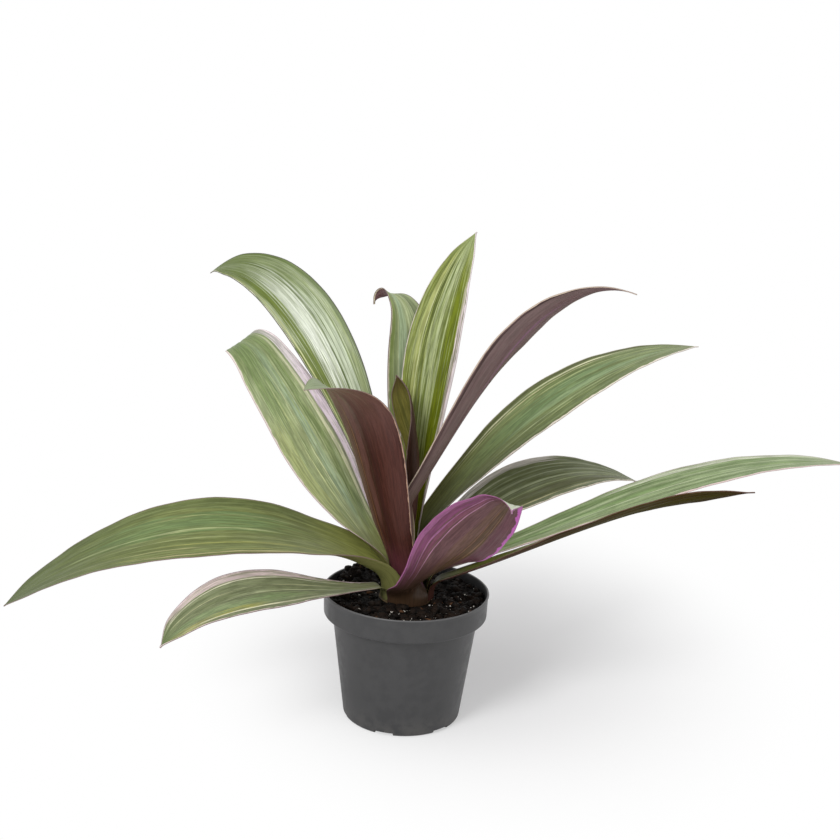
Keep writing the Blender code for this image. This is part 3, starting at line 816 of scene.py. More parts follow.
# Each leaf: its name, slot, seed, shape, upper side and underside.
LEAVES = (
    Leaf(
        "leaf_left_long", "leaf_green", 1.3,
        LeafShape(
            azimuth=190, ring=17.4, sheath=5, length=292, width=62, rise=37, arch=-6, tip=-36, sweep=6,
            roll=-23, base=0.74, peak=0.4, blunt=0.46,
        ),
        GREEN.but(
            Stripe(-0.85, 0.13, "#626c40", 0.1, 1.0, 0.1),
            Stripe(-0.3, 0.3, "#6e8252", 0.3, 0.75, 0.2),
            Stripe(-0.08, 0.022, "#a2ac7c", 0.3, 0.95),
            Stripe(-0.5, 0.012, "#909866", 0.1, 0.8),
            Stripe(0.22, 0.012, "#969e6a", 0.1, 0.7),
            Stripe(0.44, 0.02, "#a6a860", 0.05, 0.65),
            Stripe(0.58, 0.016, "#acaa76", 0.5, 1.1),
            Stripe(0.74, 0.014, "#989a5e", 0.3, 1.1),
            Stripe(0.86, 0.014, "#cec492", -0.2, 0.62, broken=0.1),
            Stripe(0.96, 0.08, "#646632", 0.0, 0.5),
            # Foot: partly the base's own yellow-green, partly painted light lifting the shade round the
            # crown.
            ground="#727a48", light="#8e9864", dark="#606a38", foot="#a6aa5a", foot_reach=0.3,
            # Tip: the outer half darkened towards the tip, painted shade.
            tip="#4e5a34", tip_reach=0.5, near=Margin("#969070", 0.6), far=Margin("#aaa082", 0.6),
            mottle=0.13,
        ),
        DARK_UNDER.but(foot="#7e804a", foot_reach=0.45),
    ),
    Leaf(
        "leaf_left_low", "leaf_green", 2.7,
        LeafShape(
            azimuth=212, ring=19, sheath=4, length=188, width=44, rise=-3, arch=38, tip=-46, sweep=8,
            roll=-20, base=0.25, peak=0.66, blunt=0.7,
        ),
        GREEN.but(
            Stripe(-0.9, 0.16, "#cebcb8", 0.3, 0.92, 0.06),
            Stripe(-0.66, 0.018, "#ceccb0", 0.2, 0.95, broken=0.1),
            Stripe(-0.3, 0.02, "#adb086", 0.1, 1.0),
            Stripe(-0.02, 0.025, "#a5ac86", 0.1, 0.7),
            Stripe(0.35, 0.2, "#7d8e62", 0.4, 0.95, 0.15),
            Stripe(0.42, 0.014, "#a9ac7e", 0.3, 0.9),
            Stripe(0.72, 0.03, "#dedcba", 0.15, 0.95, broken=0.15),
            Stripe(0.6, 0.1, "#a9a85c", 0.6, 0.78, 0.1, 0.7),
            Stripe(0.75, 0.25, "#a19e62", 0.86, 1.1, 0.1, 0.7),
            ground="#777e5c", light="#959c78", dark="#5f6844", foot="#73744e", near=Margin("#e8d4d8", 0.9),
            far=Margin("#ecdcd8", 1.0), mottle=0.14,
        ),
        DARK_UNDER.but(foot="#76784a", foot_reach=0.4),
    ),
    Leaf(
        "leaf_left_broad", "leaf_green", 3.9,
        LeafShape(
            azimuth=164, ring=15.6, sheath=14, length=240, width=55.5, rise=50, arch=65, tip=45, roll=-35,
            tip_roll=-46, channel=15, base=0.66, blunt=0.6, curl=150, curl_from=0.8,
        ),
        GREEN.but(
            Stripe(0.8, 0.22, "#b0b87e", 0.05, 0.58, 0.2),
            Stripe(0.4, 0.3, "#849662", 0.6, 0.95, 0.2, 0.5),
            Stripe(-0.05, 0.12, "#a0b290", 0.25, 0.85, 0.1),
            Stripe(0.1, 0.016, "#d0d8a8", 0.2, 0.8),
            Stripe(0.3, 0.014, "#cad098", 0.1, 0.7),
            Stripe(-0.36, 0.1, "#869662", 0.0, 0.9, 0.06, 0.5),
            Stripe(-0.26, 0.016, "#6a7a4a", 0.1, 0.55, broken=0.6),
            Stripe(-0.6, 0.045, "#dcdcb8", -0.2, 1.2, broken=0.1),
            Stripe(-0.71, 0.04, "#969680", -0.2, 0.8, 0.02),
            Stripe(-0.88, 0.16, "#faeaf4", -0.2, 1.2, 0.02, 0.1),
            ground="#a4ae7e", light="#c0cca4", light_share=0.4, dark="#82925c", foot="#9ea05e",
            tip="#586a3c", tip_reach=0.42, near=Margin("#ecdee0", 1.0), far=Margin("#e0d6ca", 1.3),
            rim="#c4b0ae", rim_width=0.3, mottle=0.14,
        ),
        DARK_UNDER.but(foot="#7a7c48", foot_reach=0.3),
    ),
    Leaf(
        "leaf_left_upper", "leaf_pale", 5.1,
        LeafShape(
            azimuth=142, ring=9.6, sheath=20, length=318, width=45, rise=63, arch=71, tip=-31, ease=1.4,
            roll=-34, tip_roll=-34, base=0.4, peak=0.65, blunt=0.7,
        ),
        GREEN.but(
            # Partly the leaf's own pale silver stripe, partly a painted reflection: the near-white patch in
            # the middle of the blade.
            Stripe(0.08, 0.36, "#ecf1e2", 0.46, 0.8, 0.14, 0.25),
            Stripe(-0.42, 0.2, "#ccd6bc", 0.1, 0.72, 0.1, 0.3),
            Stripe(0.66, 0.28, "#64722a", -0.2, 0.58, 0.22, 0.25),
            Stripe(0.66, 0.18, "#748240", 0.5, 1.0, 0.14, 0.3),
            Stripe(-0.2, 0.035, "#606e44", 0.1, 0.86, 0.03, 0.5),
            Stripe(-0.33, 0.02, "#6c7a4e", 0.3, 0.7, 0.02, 0.6),
            Stripe(-0.62, 0.02, "#728052", 0.1, 0.8, 0.02, 0.4),
            Stripe(-0.94, 0.06, "#76845c", -0.2, 1.2, 0.05),
            Stripe(0.88, 0.025, "#ced096", 0.2, 1.0, 0.02, 0.15),
            ground="#9eaa7c", light="#d6dec4", light_share=0.5, dark="#6c7c4e", dark_share=0.5,
            foot="#808a48", foot_reach=0.45, tip="#4a5a0c", tip_reach=0.5, near=Margin("#787a64", 0.5),
            far=Margin("#ded8be", 0.9), rim="#606254", rim_width=0.55,
        ),
        DARK_UNDER,
    ),
    Leaf(
        "leaf_back_hooked", "leaf_green", 6.6,
        LeafShape(
            azimuth=97, ring=8.2, sheath=20, length=230, width=36, rise=79.1, arch=90, tip=-100, ease=5,
            sweep=85, tip_roll=80, base=0.4, peak=0.69, blunt=0.85,
        ),
        GREEN.but(
            Stripe(0.8, 0.1, "#889658", 0.2, 1.2, 0.06),
            Stripe(0.3, 0.22, "#a4b692", 0.2, 1.0, 0.12),
            Stripe(0.5, 0.018, "#c0c89c", 0.2, 1.0),
            Stripe(-0.1, 0.05, "#b4be90", 0.2, 1.0),
            Stripe(-0.6, 0.2, "#76805c", 0.2, 1.2, 0.08),
            Stripe(-0.45, 0.02, "#b8c098", 0.3, 0.9),
            ground="#98a274", light="#b2be96", dark="#728054", foot="#7e8454", near=Margin("#6e6a5c", 0.5),
            far=Margin("#d8d0b8", 1.3),
        ),
        MAUVE_UNDER.but(ground="#7a585c", light="#8c646c", foot=MAROON, far=Margin(CREAM, 1.0)),
    ),
    Leaf(
        "leaf_centre_tall", "leaf_pale", 8.2,
        LeafShape(
            azimuth=75, ring=6.6, sheath=20, length=255, width=43.5, rise=83, arch=90, tip=59, sweep=-50,
            roll=20, base=0.25, peak=0.75, blunt=0.5,
        ),
        GREEN.but(
            Stripe(0.88, 0.1, "#7e883e", 0.1, 1.0, 0.05, 0.3),
            Stripe(0.74, 0.06, "#5c6622", 0.1, 0.95, 0.05, 0.3),
            Stripe(0.6, 0.04, "#9ea264", 0.1, 1.0, 0.03, 0.3),
            Stripe(0.5, 0.018, "#c8cc98", 0.2, 0.98, 0.02, 0.4),
            Stripe(0.38, 0.07, "#505c26", 0.1, 0.92, 0.06, 0.35),
            Stripe(0.22, 0.04, "#54602c", 0.2, 0.85, 0.05, 0.45),
            Stripe(-0.06, 0.32, "#acb688", 0.4, 1.0, 0.14, 0.3),
            Stripe(0.1, 0.05, "#68763c", 0.3, 0.9, 0.07, 0.5),
            Stripe(-0.2, 0.03, "#7c884e", 0.2, 0.9, 0.05, 0.6),
            Stripe(-0.56, 0.26, "#687410", 0.0, 0.93, 0.04, 0.05),
            Stripe(-0.9, 0.13, "#e6d6d8", 0.0, 0.8, 0.02, 0.05),
            Stripe(-0.88, 0.012, "#aa8e98", 0.1, 0.75, 0.015, 0.2),
            ground="#909850", light="#b4bc86", light_share=0.4, dark="#5c6622", dark_share=0.7,
            foot="#747806", foot_reach=0.62, tip="#8a985c", tip_reach=0.12, near=Margin("#e6dae0", 1.3),
            far=Margin("#cecea8", 0.6), rim="#c8bab8", rim_width=0.3, mottle=0.16,
        ),
        MAUVE_UNDER,
    ),
    Leaf(
        "leaf_heart_young", "leaf_maroon", 9.4,
        LeafShape(
            azimuth=60, ring=2.6, sheath=16, length=149, width=30, rise=84, arch=84, tip=122, lean=-72,
            roll=12, tip_roll=70, channel=88, tip_channel=0.75, base=0.35, peak=0.7, blunt=0.5, wave=0.2,
        ),
        GREEN.but(
            ground="#706a2e", light="#867c46", dark=DARK_OLIVE, foot=DARK_OLIVE, tip=UMBER,
            near=Margin("#c4b082", 0.6), far=Margin("#96845a", 0.5),
        ),
        DARK_UNDER.but(
            ground="#4e302a", dark="#3a221e", near=Margin("#a48680", 0.6), far=Margin(BRONZE, 0.4),
            specular=0.2,
        ),
    ),
    Leaf(
        "leaf_front_broad", "leaf_maroon", 10.8,
        LeafShape(
            azimuth=-114, ring=13.9, sheath=12, length=196, width=57, rise=69, arch=86.5, tip=-30, ease=2.8,
            lean=-14, sweep=-36, roll=12, tip_roll=0, channel=30, base=0.5, peak=0.78, blunt=0.35,
        ),
        GREEN.but(ground="#929e7c", light="#b0ba9c", tip="#8c9874", tip_reach=0.05),
        DARK_UNDER.but(
            # Painted sheen: this lighter maroon stripe along the left margin stands in for lit sheen.
            Stripe(-0.82, 0.2, "#603f3b", 0.2, 1.2, 0.1, 0.15),
            Stripe(-0.28, 0.13, "#5a3733", 0.3, 0.86, 0.1, 0.2),
            Stripe(0.0, 0.14, "#361713", 0.1, 0.95, 0.12, 0.1),
            Stripe(0.6, 0.3, "#4c2922", 0.0, 1.2, 0.2),
            Stripe(-0.5, 0.018, "#86593d", 0.05, 0.86, 0.015, 0.25),
            Stripe(-0.6, 0.01, "#704b39", 0.3, 0.8, 0.01, 0.4),
            ground="#3f1b15", light="#5a3733", light_share=0.16, dark="#2c1410", dark_share=0.2,
            foot="#703c48", foot_reach=0.24, tip="#7a5852", tip_reach=0.42, near=Margin("#c8a88c", 0.7),
            far=Margin("#c4a086", 0.8), rim_width=0.3, specular=0.2,
        ),
    ),
    Leaf(
        "leaf_right_upper", "leaf_mauve", 12.1,
        LeafShape(
            azimuth=-110, ring=12.4, sheath=58, length=304, width=37.5, rise=62, arch=68, tip=-17, ease=2,
            lean=89, roll=-32, tip_roll=-22, channel=30, base=0.34,
        ),
        GREEN.but(ground="#7e8868"),
        MAUVE_UNDER.but(
            Stripe(-0.5, 0.34, "#725e5c", 0.1, 1.2, 0.15, 0.2),
            Stripe(0.2, 0.07, "#805c70", 0.15, 0.8, 0.06, 0.2),
            Stripe(0.32, 0.04, "#5c3a46", 0.15, 0.8, 0.04, 0.2),
            Stripe(0.7, 0.16, "#624a4c", 0.1, 1.0, 0.1),
            Stripe(-0.87, 0.05, "#42302e", 0.1, 0.9, 0.03, 0.2),
            Stripe(0.94, 0.1, "#a8a078", -0.2, 0.28, 0.05, 0.2),
            ground="#6c5454", light="#806668", dark="#583e3e", foot="#7a5e58", foot_reach=0.35,
            tip="#72565c", near=Margin("#cebca8", 0.7), far=Margin("#d6c4ac", 0.6), rim="#baa89a",
            rim_width=0.25,
        ),
    ),
    Leaf(
        "leaf_right_arching", "leaf_green", 13.5,
        LeafShape(
            azimuth=45, ring=12.4, sheath=36, length=313, width=49, rise=49, arch=36, tip=-2, lean=-17,
            roll=12, base=0.4, peak=0.55, blunt=0.6,
        ),
        GREEN.but(
            Stripe(0.2, 0.28, "#6e8458", 0.25, 0.75, 0.2, 0.3),
            Stripe(-0.05, 0.12, "#82966c", 0.45, 0.9, 0.1, 0.3),
            Stripe(-0.6, 0.2, "#6a7748", 0.1, 0.9, 0.1, 0.4),
            Stripe(-0.35, 0.018, "#b0b98a", 0.35, 0.95),
            Stripe(-0.5, 0.012, "#a8af7e", 0.2, 0.8),
            Stripe(0.56, 0.014, "#9ea776", 0.3, 0.9),
            Stripe(0.72, 0.014, "#ccc99c", 0.05, 0.75, 0.012, 0.2),
            Stripe(0.82, 0.02, "#d0ceac", 0.0, 0.8, 0.015, 0.15),
            Stripe(0.92, 0.05, "#5c613e", 0.0, 0.9, 0.02, 0.1),
            Stripe(-0.86, 0.04, "#5c6538", 0.0, 0.6, 0.03),
            ground="#788556", light="#94a372", dark="#606b3c", dark_share=0.55, foot="#4a4c1a",
            foot_reach=0.62, tip="#7c835a", near=Margin("#eee4d6", 2.2), far=Margin("#8e8876", 0.5),
            rim="#c4baac", rim_width=0.3, mottle=0.15,
        ),
        DARK_UNDER,
    ),
    Leaf(
        "leaf_right_short", "leaf_green", 14.9,
        LeafShape(
            azimuth=33, ring=14.8, sheath=15, length=245, width=51, rise=39, arch=16, tip=-32, roll=17,
            base=0.42, blunt=0.6,
        ),
        GREEN.but(
            Stripe(-0.48, 0.2, "#53572d", 0.1, 0.85, 0.08),
            Stripe(0.64, 0.03, "#9da381", 0.1, 0.95),
            Stripe(0.5, 0.012, "#818965", 0.1, 0.9),
            Stripe(0.3, 0.03, "#8f9773", 0.1, 0.95),
            Stripe(0.05, 0.035, "#9ba37f", 0.2, 1.0),
            Stripe(-0.2, 0.02, "#8d956b", 0.2, 0.95),
            Stripe(-0.74, 0.03, "#bbb789", 0.1, 0.95),
            Stripe(0.9, 0.1, "#cec8c0", 0.15, 0.62, 0.03, 0.15),
            ground="#636b43", light="#838d65", dark="#4d552b", foot="#464820", tip="#757959",
            near=Margin("#ded6c4", 1.6), far=Margin("#cec8be", 0.7), rim="#b0a696", rim_width=0.3,
        ),
        DARK_UNDER,
    ),
    Leaf(
        "leaf_right_long", "leaf_green", 16.3,
        LeafShape(
            azimuth=6, ring=16.4, sheath=5, length=330, width=33, rise=16, arch=38, tip=-6, sweep=-2,
            roll=17, base=0.52, peak=0.68, blunt=0.45,
        ),
        GREEN.but(
            Stripe(0.62, 0.22, "#728558", 0.1, 0.6, 0.12, 0.4),
            Stripe(0.1, 0.12, "#7c9560", 0.1, 0.6, 0.1, 0.3),
            Stripe(0.4, 0.03, "#aab790", 0.2, 1.0),
            Stripe(0.0, 0.02, "#b2bd98", 0.3, 1.0),
            Stripe(-0.3, 0.025, "#a6b38a", 0.1, 0.9),
            Stripe(-0.66, 0.04, "#c0c18e", 0.0, 0.5, 0.02, 0.15),
            Stripe(-0.45, 0.02, "#6e7f4e", 0.1, 0.8),
            Stripe(0.88, 0.12, "#c4c8b2", 0.5, 1.0, 0.04, 0.3),
            ground="#86996c", light="#aebb96", light_share=0.45, dark="#687b4c", foot="#828f5a",
            tip="#9ca386", near=Margin("#ead4d0", 2.6), far=Margin("#a0a68e", 0.6), rim="#c8b0ac",
            rim_width=0.3, mottle=0.14,
        ),
        DARK_UNDER.but(near=Margin("#be828c", 0.8)),
    ),
    Leaf(
        "leaf_right_low", "leaf_maroon", 17.8,
        LeafShape(
            azimuth=-12, ring=19.4, sheath=5, length=247, width=34, rise=22, arch=39, tip=8, sweep=-1,
            roll=-15, tip_roll=-42, channel=25, base=0.48, peak=0.55,
        ),
        GREEN.but(
            ground="#6a7032", light="#84884e", dark="#545824", foot="#62642c", near=Margin("#d6beb2", 1.4),
            far=Margin(BLUSH, 0.8),
        ),
        DARK_UNDER.but(
            Stripe(0.0, 0.4, "#3c3608", 0.4, 0.98, 0.3, 0.2),
            ground="#382c08", light="#483e12", light_share=0.45, dark="#201606", foot="#4e2e2a",
            foot_reach=0.5, near=Margin("#786054", 0.6), far=Margin("#785450", 0.6), rim="#60483c",
            roughness=0.6, specular=0.04,
        ),
    ),
    Leaf(
        "leaf_front_twisted", "leaf_mauve", 19.4,
        LeafShape(
            azimuth=-85, ring=20.6, sheath=9, length=147, width=56, rise=45, arch=49, tip=50, lean=54,
            sweep=-15, roll=-45, tip_roll=-40, channel=30, base=0.56, peak=0.5, curl=90, curl_from=0.8,
            wave=0.9,
        ),
        GREEN.but(
            ground="#dadcc8", light=SILVER, dark_share=0.15, foot=DARK_OLIVE, tip=SILVER,
            near=Margin(BLUSH, 1.0), far=Margin(MAGENTA, 1.0),
        ),
        MAUVE_UNDER.but(
            Stripe(-0.95, 0.06, "#8a527a", 0.1, 1.2, 0.03, 0.1),
            Stripe(-0.8, 0.08, "#723e5e", 0.1, 1.2, 0.04, 0.1),
            Stripe(-0.68, 0.02, "#945c84", 0.15, 0.9, 0.015, 0.2),
            Stripe(-0.6, 0.05, "#704254", 0.1, 0.9, 0.02, 0.1),
            Stripe(-0.5, 0.014, "#a87692", 0.15, 0.95, 0.01, 0.2),
            Stripe(0.02, 0.14, "#624a3e", 0.2, 0.9, 0.1, 0.2),
            Stripe(0.26, 0.14, "#54422c", 0.15, 0.85, 0.08, 0.2),
            Stripe(0.34, 0.014, "#7e604a", 0.15, 0.8, 0.012, 0.35),
            Stripe(0.16, 0.01, "#7e5c48", 0.3, 0.8, 0.01, 0.4),
            Stripe(0.68, 0.2, "#623e46", 0.1, 1.0, 0.08),
            ground="#5e4244", light="#78585a", light_share=0.3, dark="#4e3032", foot="#382a14",
            foot_reach=0.42, tip="#68484a", near=Margin("#965882", 0.6), far=Margin("#b860ac", 3.0),
            rim="#9e608e", rim_width=0.2,
        ),
    ),
)


# ---- Pot, soil and stem ----

Profile = list[tuple[float, float]]


def turned_solid(name: str, profile: Profile, segments: int, material: Material) -> Object:
    """Turn a profile into a solid of revolution.

    Args:
        name: the object's name.
        profile: (radius, height) in millimetres, from the axis at the bottom, up the outside and back.
        segments: points round the axis.
        material: its material.

    Returns:
        The object.
    """
    bm = bmesh.new()
    bridge(bm, [circle(bm, radius, lambda x, y: height, segments) for radius, height in profile])
    return place_mesh(name, bm, material)


@dataclass(frozen=True)
class GrainFinish:
    """A matt finish that varies between two colours, with specks of a third: sizes in millimetres."""

    name: str
    dark: Colour
    light: Colour
    size: float
    relief: float
    roughness: tuple[float, float]
    specular: float = 0.5
    speck: Colour = "#000000"
    speck_share: float = 0.0

    def material(self) -> Material:
        """Make the material.

        Returns:
            The material.
        """
        sheet = MaterialSheet(self.name)
        place = sheet.add("ShaderNodeTexCoord").outputs["Object"]
        grains = sheet.group(grain(), Place=place, Size=self.size * MM)
        colour = sheet.mix(grains["Coarse"], self.dark, self.light)
        colour = sheet.mix(sheet.times(grains["Fine"], self.speck_share), colour, self.speck)
        roughness = sheet.fit(grains["Fine"], 0.0, 1.0, *self.roughness)
        normal = sheet.bump(grains["Height"], self.relief * MM)
        return sheet.dress(colour, roughness, self.specular, Normal=normal)


@dataclass
class NurseryPot:
    """Round nursery pot: tapered wall, a wider collar with a thin rim, and drainage notches at the foot."""

    height: float = 96.0
    rim_radius: float = 60.0
    collar_radius: float = 59.0
    collar_bottom: float = 78.5
    shoulder_radius: float = 52.6
    foot_radius: float = 42.8
    corner: float = 3.0
    wall: float = 1.5
    floor: float = 2.2
    rim_edge: float = 0.4
    rim_depth: float = 2.4
    bead: float = 0.75
    fillet: float = 1.3
    collar_edge: float = 1.2
    segments: int = 180
    notch_count: int = 6
    notch_width: float = 14.0
    notch_height: float = 2.6
    notch_depth: float = 9.0
    notch_start: float = 254.0
    notch_overshoot: float = 4.0
    plastic: Colour = "#363637"
    grain_size: float = 0.9
    relief: float = 0.12
    dust_height: float = 20.0
    rim_highlight_band: float = 1.2
    roughness: tuple[float, float] = (0.36, 0.46)
    sharp_angle: float = 38.0

    @staticmethod
    def arc(x: float, y: float, radius: float, start: float, end: float, steps: int = 5) -> Profile:
        """Return the points of an arc round a centre, with its angles in degrees."""
        angles = [math.radians(start + (end - start) * step / steps) for step in range(steps + 1)]
        return [(x + radius * math.cos(angle), y + radius * math.sin(angle)) for angle in angles]

    def profile(self) -> Profile:
        """Draw the pot's profile with rounded mouldings.

        Returns:
            The profile, from the middle of the bottom round to the middle of the floor.
        """
        foot = self.arc(self.foot_radius - self.corner, self.corner, self.corner, -90, -10)
        foot.append((self.foot_radius + 0.12, self.corner + 0.6))
        fillet = self.arc(
            self.shoulder_radius + self.fillet, self.collar_bottom - self.fillet - 0.3, self.fillet, 176, 96
        )
        underside = self.collar_bottom + self.collar_edge
        edge = self.arc(self.collar_radius - self.collar_edge, underside, self.collar_edge, -90, 0)
        ring_top = self.height - self.rim_depth
        collar = [(self.rim_radius - self.rim_edge - 0.25, ring_top - 1.0)]
        collar.append((self.rim_radius - 0.5, ring_top))
        bead = self.arc(self.rim_radius - self.bead, self.height - self.bead, self.bead, -20, 180, 9)
        inside = [
            (self.rim_radius - self.wall - self.rim_edge, ring_top),
            (self.collar_radius - self.wall, underside + self.wall),
            (self.shoulder_radius - self.wall, underside),
            (self.foot_radius - self.wall, self.corner),
            (self.foot_radius - self.corner, self.floor),
            (0.0, self.floor),
        ]
        return [(0.0, 0.0)] + foot + fillet + edge + collar + bead + inside

    def notch_cutter(self) -> Object:
        """Build the blocks that cut the notches.

        Returns:
            The blocks as one object.
        """
        bm = bmesh.new()
        length = self.notch_depth + self.notch_overshoot
        middle = Vector((self.foot_radius + self.notch_overshoot - 0.5 * length, 0.0, 0.0)) * MM
        size = Vector((length, self.notch_width, 2.0 * self.notch_height)) * MM
        for index in range(self.notch_count):
            angle = math.radians(self.notch_start + 360.0 * index / self.notch_count)
            turn = Matrix.Rotation(angle, 4, "Z") @ Matrix.Translation(middle)
            bmesh.ops.create_cube(bm, size=1.0, matrix=turn @ Matrix.Diagonal((*size, 1.0)))
        return place_mesh("notch_blocks", bm)

    def material(self) -> Material:
        """Make satin dark grey plastic with a fine grain, a painted highlight along the rim and dust near
        the foot.

        Returns:
            The material.
        """
        sheet = MaterialSheet("pot_plastic")
        place = sheet.add("ShaderNodeTexCoord").outputs["Object"]
        grains = sheet.group(grain(), Place=place, Size=self.grain_size * MM)
        _, _, z = sheet.split(place)
        colour = sheet.mix(sheet.times(grains["Coarse"], 0.25), self.plastic, "#4c4c4c")
        colour = sheet.mix(sheet.times(grains["Fine"], 0.12), colour, "#3a3a3a")
        dust = sheet.times(sheet.fit(z, 0.0, self.dust_height * MM, 1.0, 0.0), grains["Coarse"])
        colour = sheet.mix(sheet.times(dust, 0.2), colour, "#6e6a64")
        # Painted highlight: the top of the rim is mixed half way towards a paler grey.
        rim = sheet.fit(z, (self.height - self.rim_highlight_band) * MM, self.height * MM, 0.0, 0.5)
        colour = sheet.mix(rim, colour, "#747474")
        roughness = sheet.fit(grains["Coarse"], 0.0, 1.0, *self.roughness)
        return sheet.dress(colour, roughness, Normal=sheet.bump(grains["Height"], self.relief * MM, 0.5))

    def build(self) -> Object:
        """Build the pot and cut its notches.

        Returns:
            The pot.
        """
        pot = turned_solid("nursery_pot_shell", self.profile(), self.segments, self.material())
        cutter = self.notch_cutter()
        cut = pot.modifiers.new("notches", "BOOLEAN")
        cut.operation = "DIFFERENCE"
        cut.solver = "EXACT"
        cut.object = cutter
        bpy.context.view_layer.update()
        shown = pot.evaluated_get(bpy.context.evaluated_depsgraph_get())
        result = bpy.data.meshes.new_from_object(shown)
        pot.modifiers.clear()
        pot.data = result
        bpy.data.objects.remove(cutter, do_unlink=True)
        result.set_sharp_from_angle(angle=math.radians(self.sharp_angle))
        return pot


SOIL = GrainFinish("soil", "#090604", "#18110c", 1.1, 0.7, (0.6, 0.98), 0.12, "#100b08", 0.5)
LUMP = GrainFinish("soil_crumb", "#090604", "#221811", 0.6, 0.3, (0.6, 0.95), 0.15)
BARK = replace(LUMP, name="bark_chip", dark="#2c1c12", light="#5c402c")
PERLITE = replace(LUMP, name="white_grain", dark="#beb8ac", light="#e8e4dc")
STEM = GrainFinish(
    "stem_flesh", "#544422", "#6c5c32", 0.8, 0.2, (0.5, 0.7), speck="#50322c", speck_share=0.4
)


@dataclass(frozen=True)
class Litter:
    """Small lumps of one kind, their radii in millimetres, and the share of them that lies in front."""

    name: str
    finish: GrainFinish
    count: int
    smallest: float
    largest: float
    stretch: float
    front: float


@dataclass
class PottingSoil:
    """Dark potting soil: a lumpy surface, loose crumbs, bark chips and white grains."""

    edge: float = 56.7
    inner: float = 14.8
    bottom: float = 82.0
    rings: int = 84
    segments: int = 220
    lump: float = 1.1
    heap_angle: float = 146.0
    heap_distance: float = 44.0
    heap_radius: float = 17.0
    heap_height: float = 11.0
    litter: tuple[Litter, ...] = (
        Litter("soil_crumbs", LUMP, 620, 0.7, 3.2, 1.2, 0.3),
        Litter("bark_chips", BARK, 46, 0.8, 1.6, 2.4, 0.4),
        Litter("white_grains", PERLITE, 240, 0.3, 0.9, 1.15, 0.85),
    )
    relief: tuple[tuple[float, float], ...] = ((1.1, 7.0), (0.9, 3.1), (0.5, 1.4))  # depths and pitches
    calm: tuple[float, float] = (3.0, 12.0)  # where the lumps begin round the stem, and over what they rise
    relief_rise: float = 5.0
    reach: tuple[float, float] = (0.15, 0.93)
    edge_gap: float = 0.4
    detail_from: float = 1.6
    front_angles: tuple[float, float] = (-120.0, 10.0)
    tilt: float = 0.5
    unevenness: float = 0.45
    flatness: float = 0.75
    sink: float = 0.35
    rng: random.Random = field(default_factory=lambda: random.Random(42))

    def height(self, x: float, y: float) -> float:
        """Return the height of the crumbly surface at a place, all in millimetres.

        Args:
            x: the place to the right of the pot's axis.
            y: the place behind it.

        Returns:
            The height.
        """
        reach = math.hypot(x, y) - STEM_RADIUS
        lumps = math.sin(0.31 * x + 1.0) * math.cos(0.27 * y) + 0.5 * math.sin(0.22 * x - 0.41 * y)
        turn = math.radians(self.heap_angle)
        off = math.dist((x, y), (self.heap_distance * math.cos(turn), self.heap_distance * math.sin(turn)))
        heap = self.heap_height * max(0.0, 1.0 - (off / self.heap_radius) ** 2)
        outward = min(1.0, max(0.0, (reach - self.calm[0]) / self.calm[1]))
        spot = Vector((x, y, 0.0))
        relief = sum(depth * noise.noise(spot / pitch) for depth, pitch in self.relief)
        relief *= min(1.0, max(0.0, reach / self.relief_rise))
        return SOIL_LEVEL + outward * (self.lump * lumps + heap) + relief

    def surface(self) -> Object:
        """Build the soil's body with its lumpy top.

        Returns:
            The object.
        """
        bm = bmesh.new()
        levels = [(self.edge, lambda x, y: self.bottom)]
        for index in range(self.rings + 1):
            levels.append((self.edge + (self.inner - self.edge) * index / self.rings, self.height))
        levels.append((self.inner, lambda x, y: self.bottom))
        rings = [circle(bm, radius, height, self.segments) for radius, height in levels]
        bridge(bm, rings + rings[:1])
        return place_mesh("soil_surface", bm, SOIL.material())

    def scatter(self, kind: Litter) -> Object:
        """Strew small uneven lumps over the soil, joined in one piece.

        Args:
            kind: what is strewn.

        Returns:
            The object.
        """
        bm = bmesh.new()
        draw = self.rng.uniform
        for _ in range(kind.count):
            reach = math.sqrt(draw(*self.reach))
            angle = draw(0.0, 2.0 * math.pi)
            if self.rng.random() < kind.front:
                angle = math.radians(draw(*self.front_angles))
            size = draw(0.0, 1.0) ** 2.0 * (kind.largest - kind.smallest) + kind.smallest
            radius = min(reach * self.edge, self.edge - size * kind.stretch - self.edge_gap)
            x, y = radius * math.cos(angle), radius * math.sin(angle)
            place = Vector((x, y, self.height(x, y) + self.sink * size))
            turn = Matrix.Rotation(draw(0.0, math.pi), 3, "Z")
            turn = turn @ Matrix.Rotation(draw(-self.tilt, self.tilt), 3, "X")
            detail = 2 if size > self.detail_from else 1
            lump = bmesh.ops.create_icosphere(bm, subdivisions=detail, radius=1.0)["verts"]
            shift = Vector((draw(0, 99), draw(0, 99), 0.0))
            for vert in lump:
                swell = 1.0 + self.unevenness * noise.noise(vert.co * 1.6 + shift)
                local = Vector((vert.co.x * kind.stretch, vert.co.y, vert.co.z * self.flatness))
                vert.co = (turn @ (local * swell * size) + place) * MM
        return place_mesh(kind.name, bm, kind.finish.material())


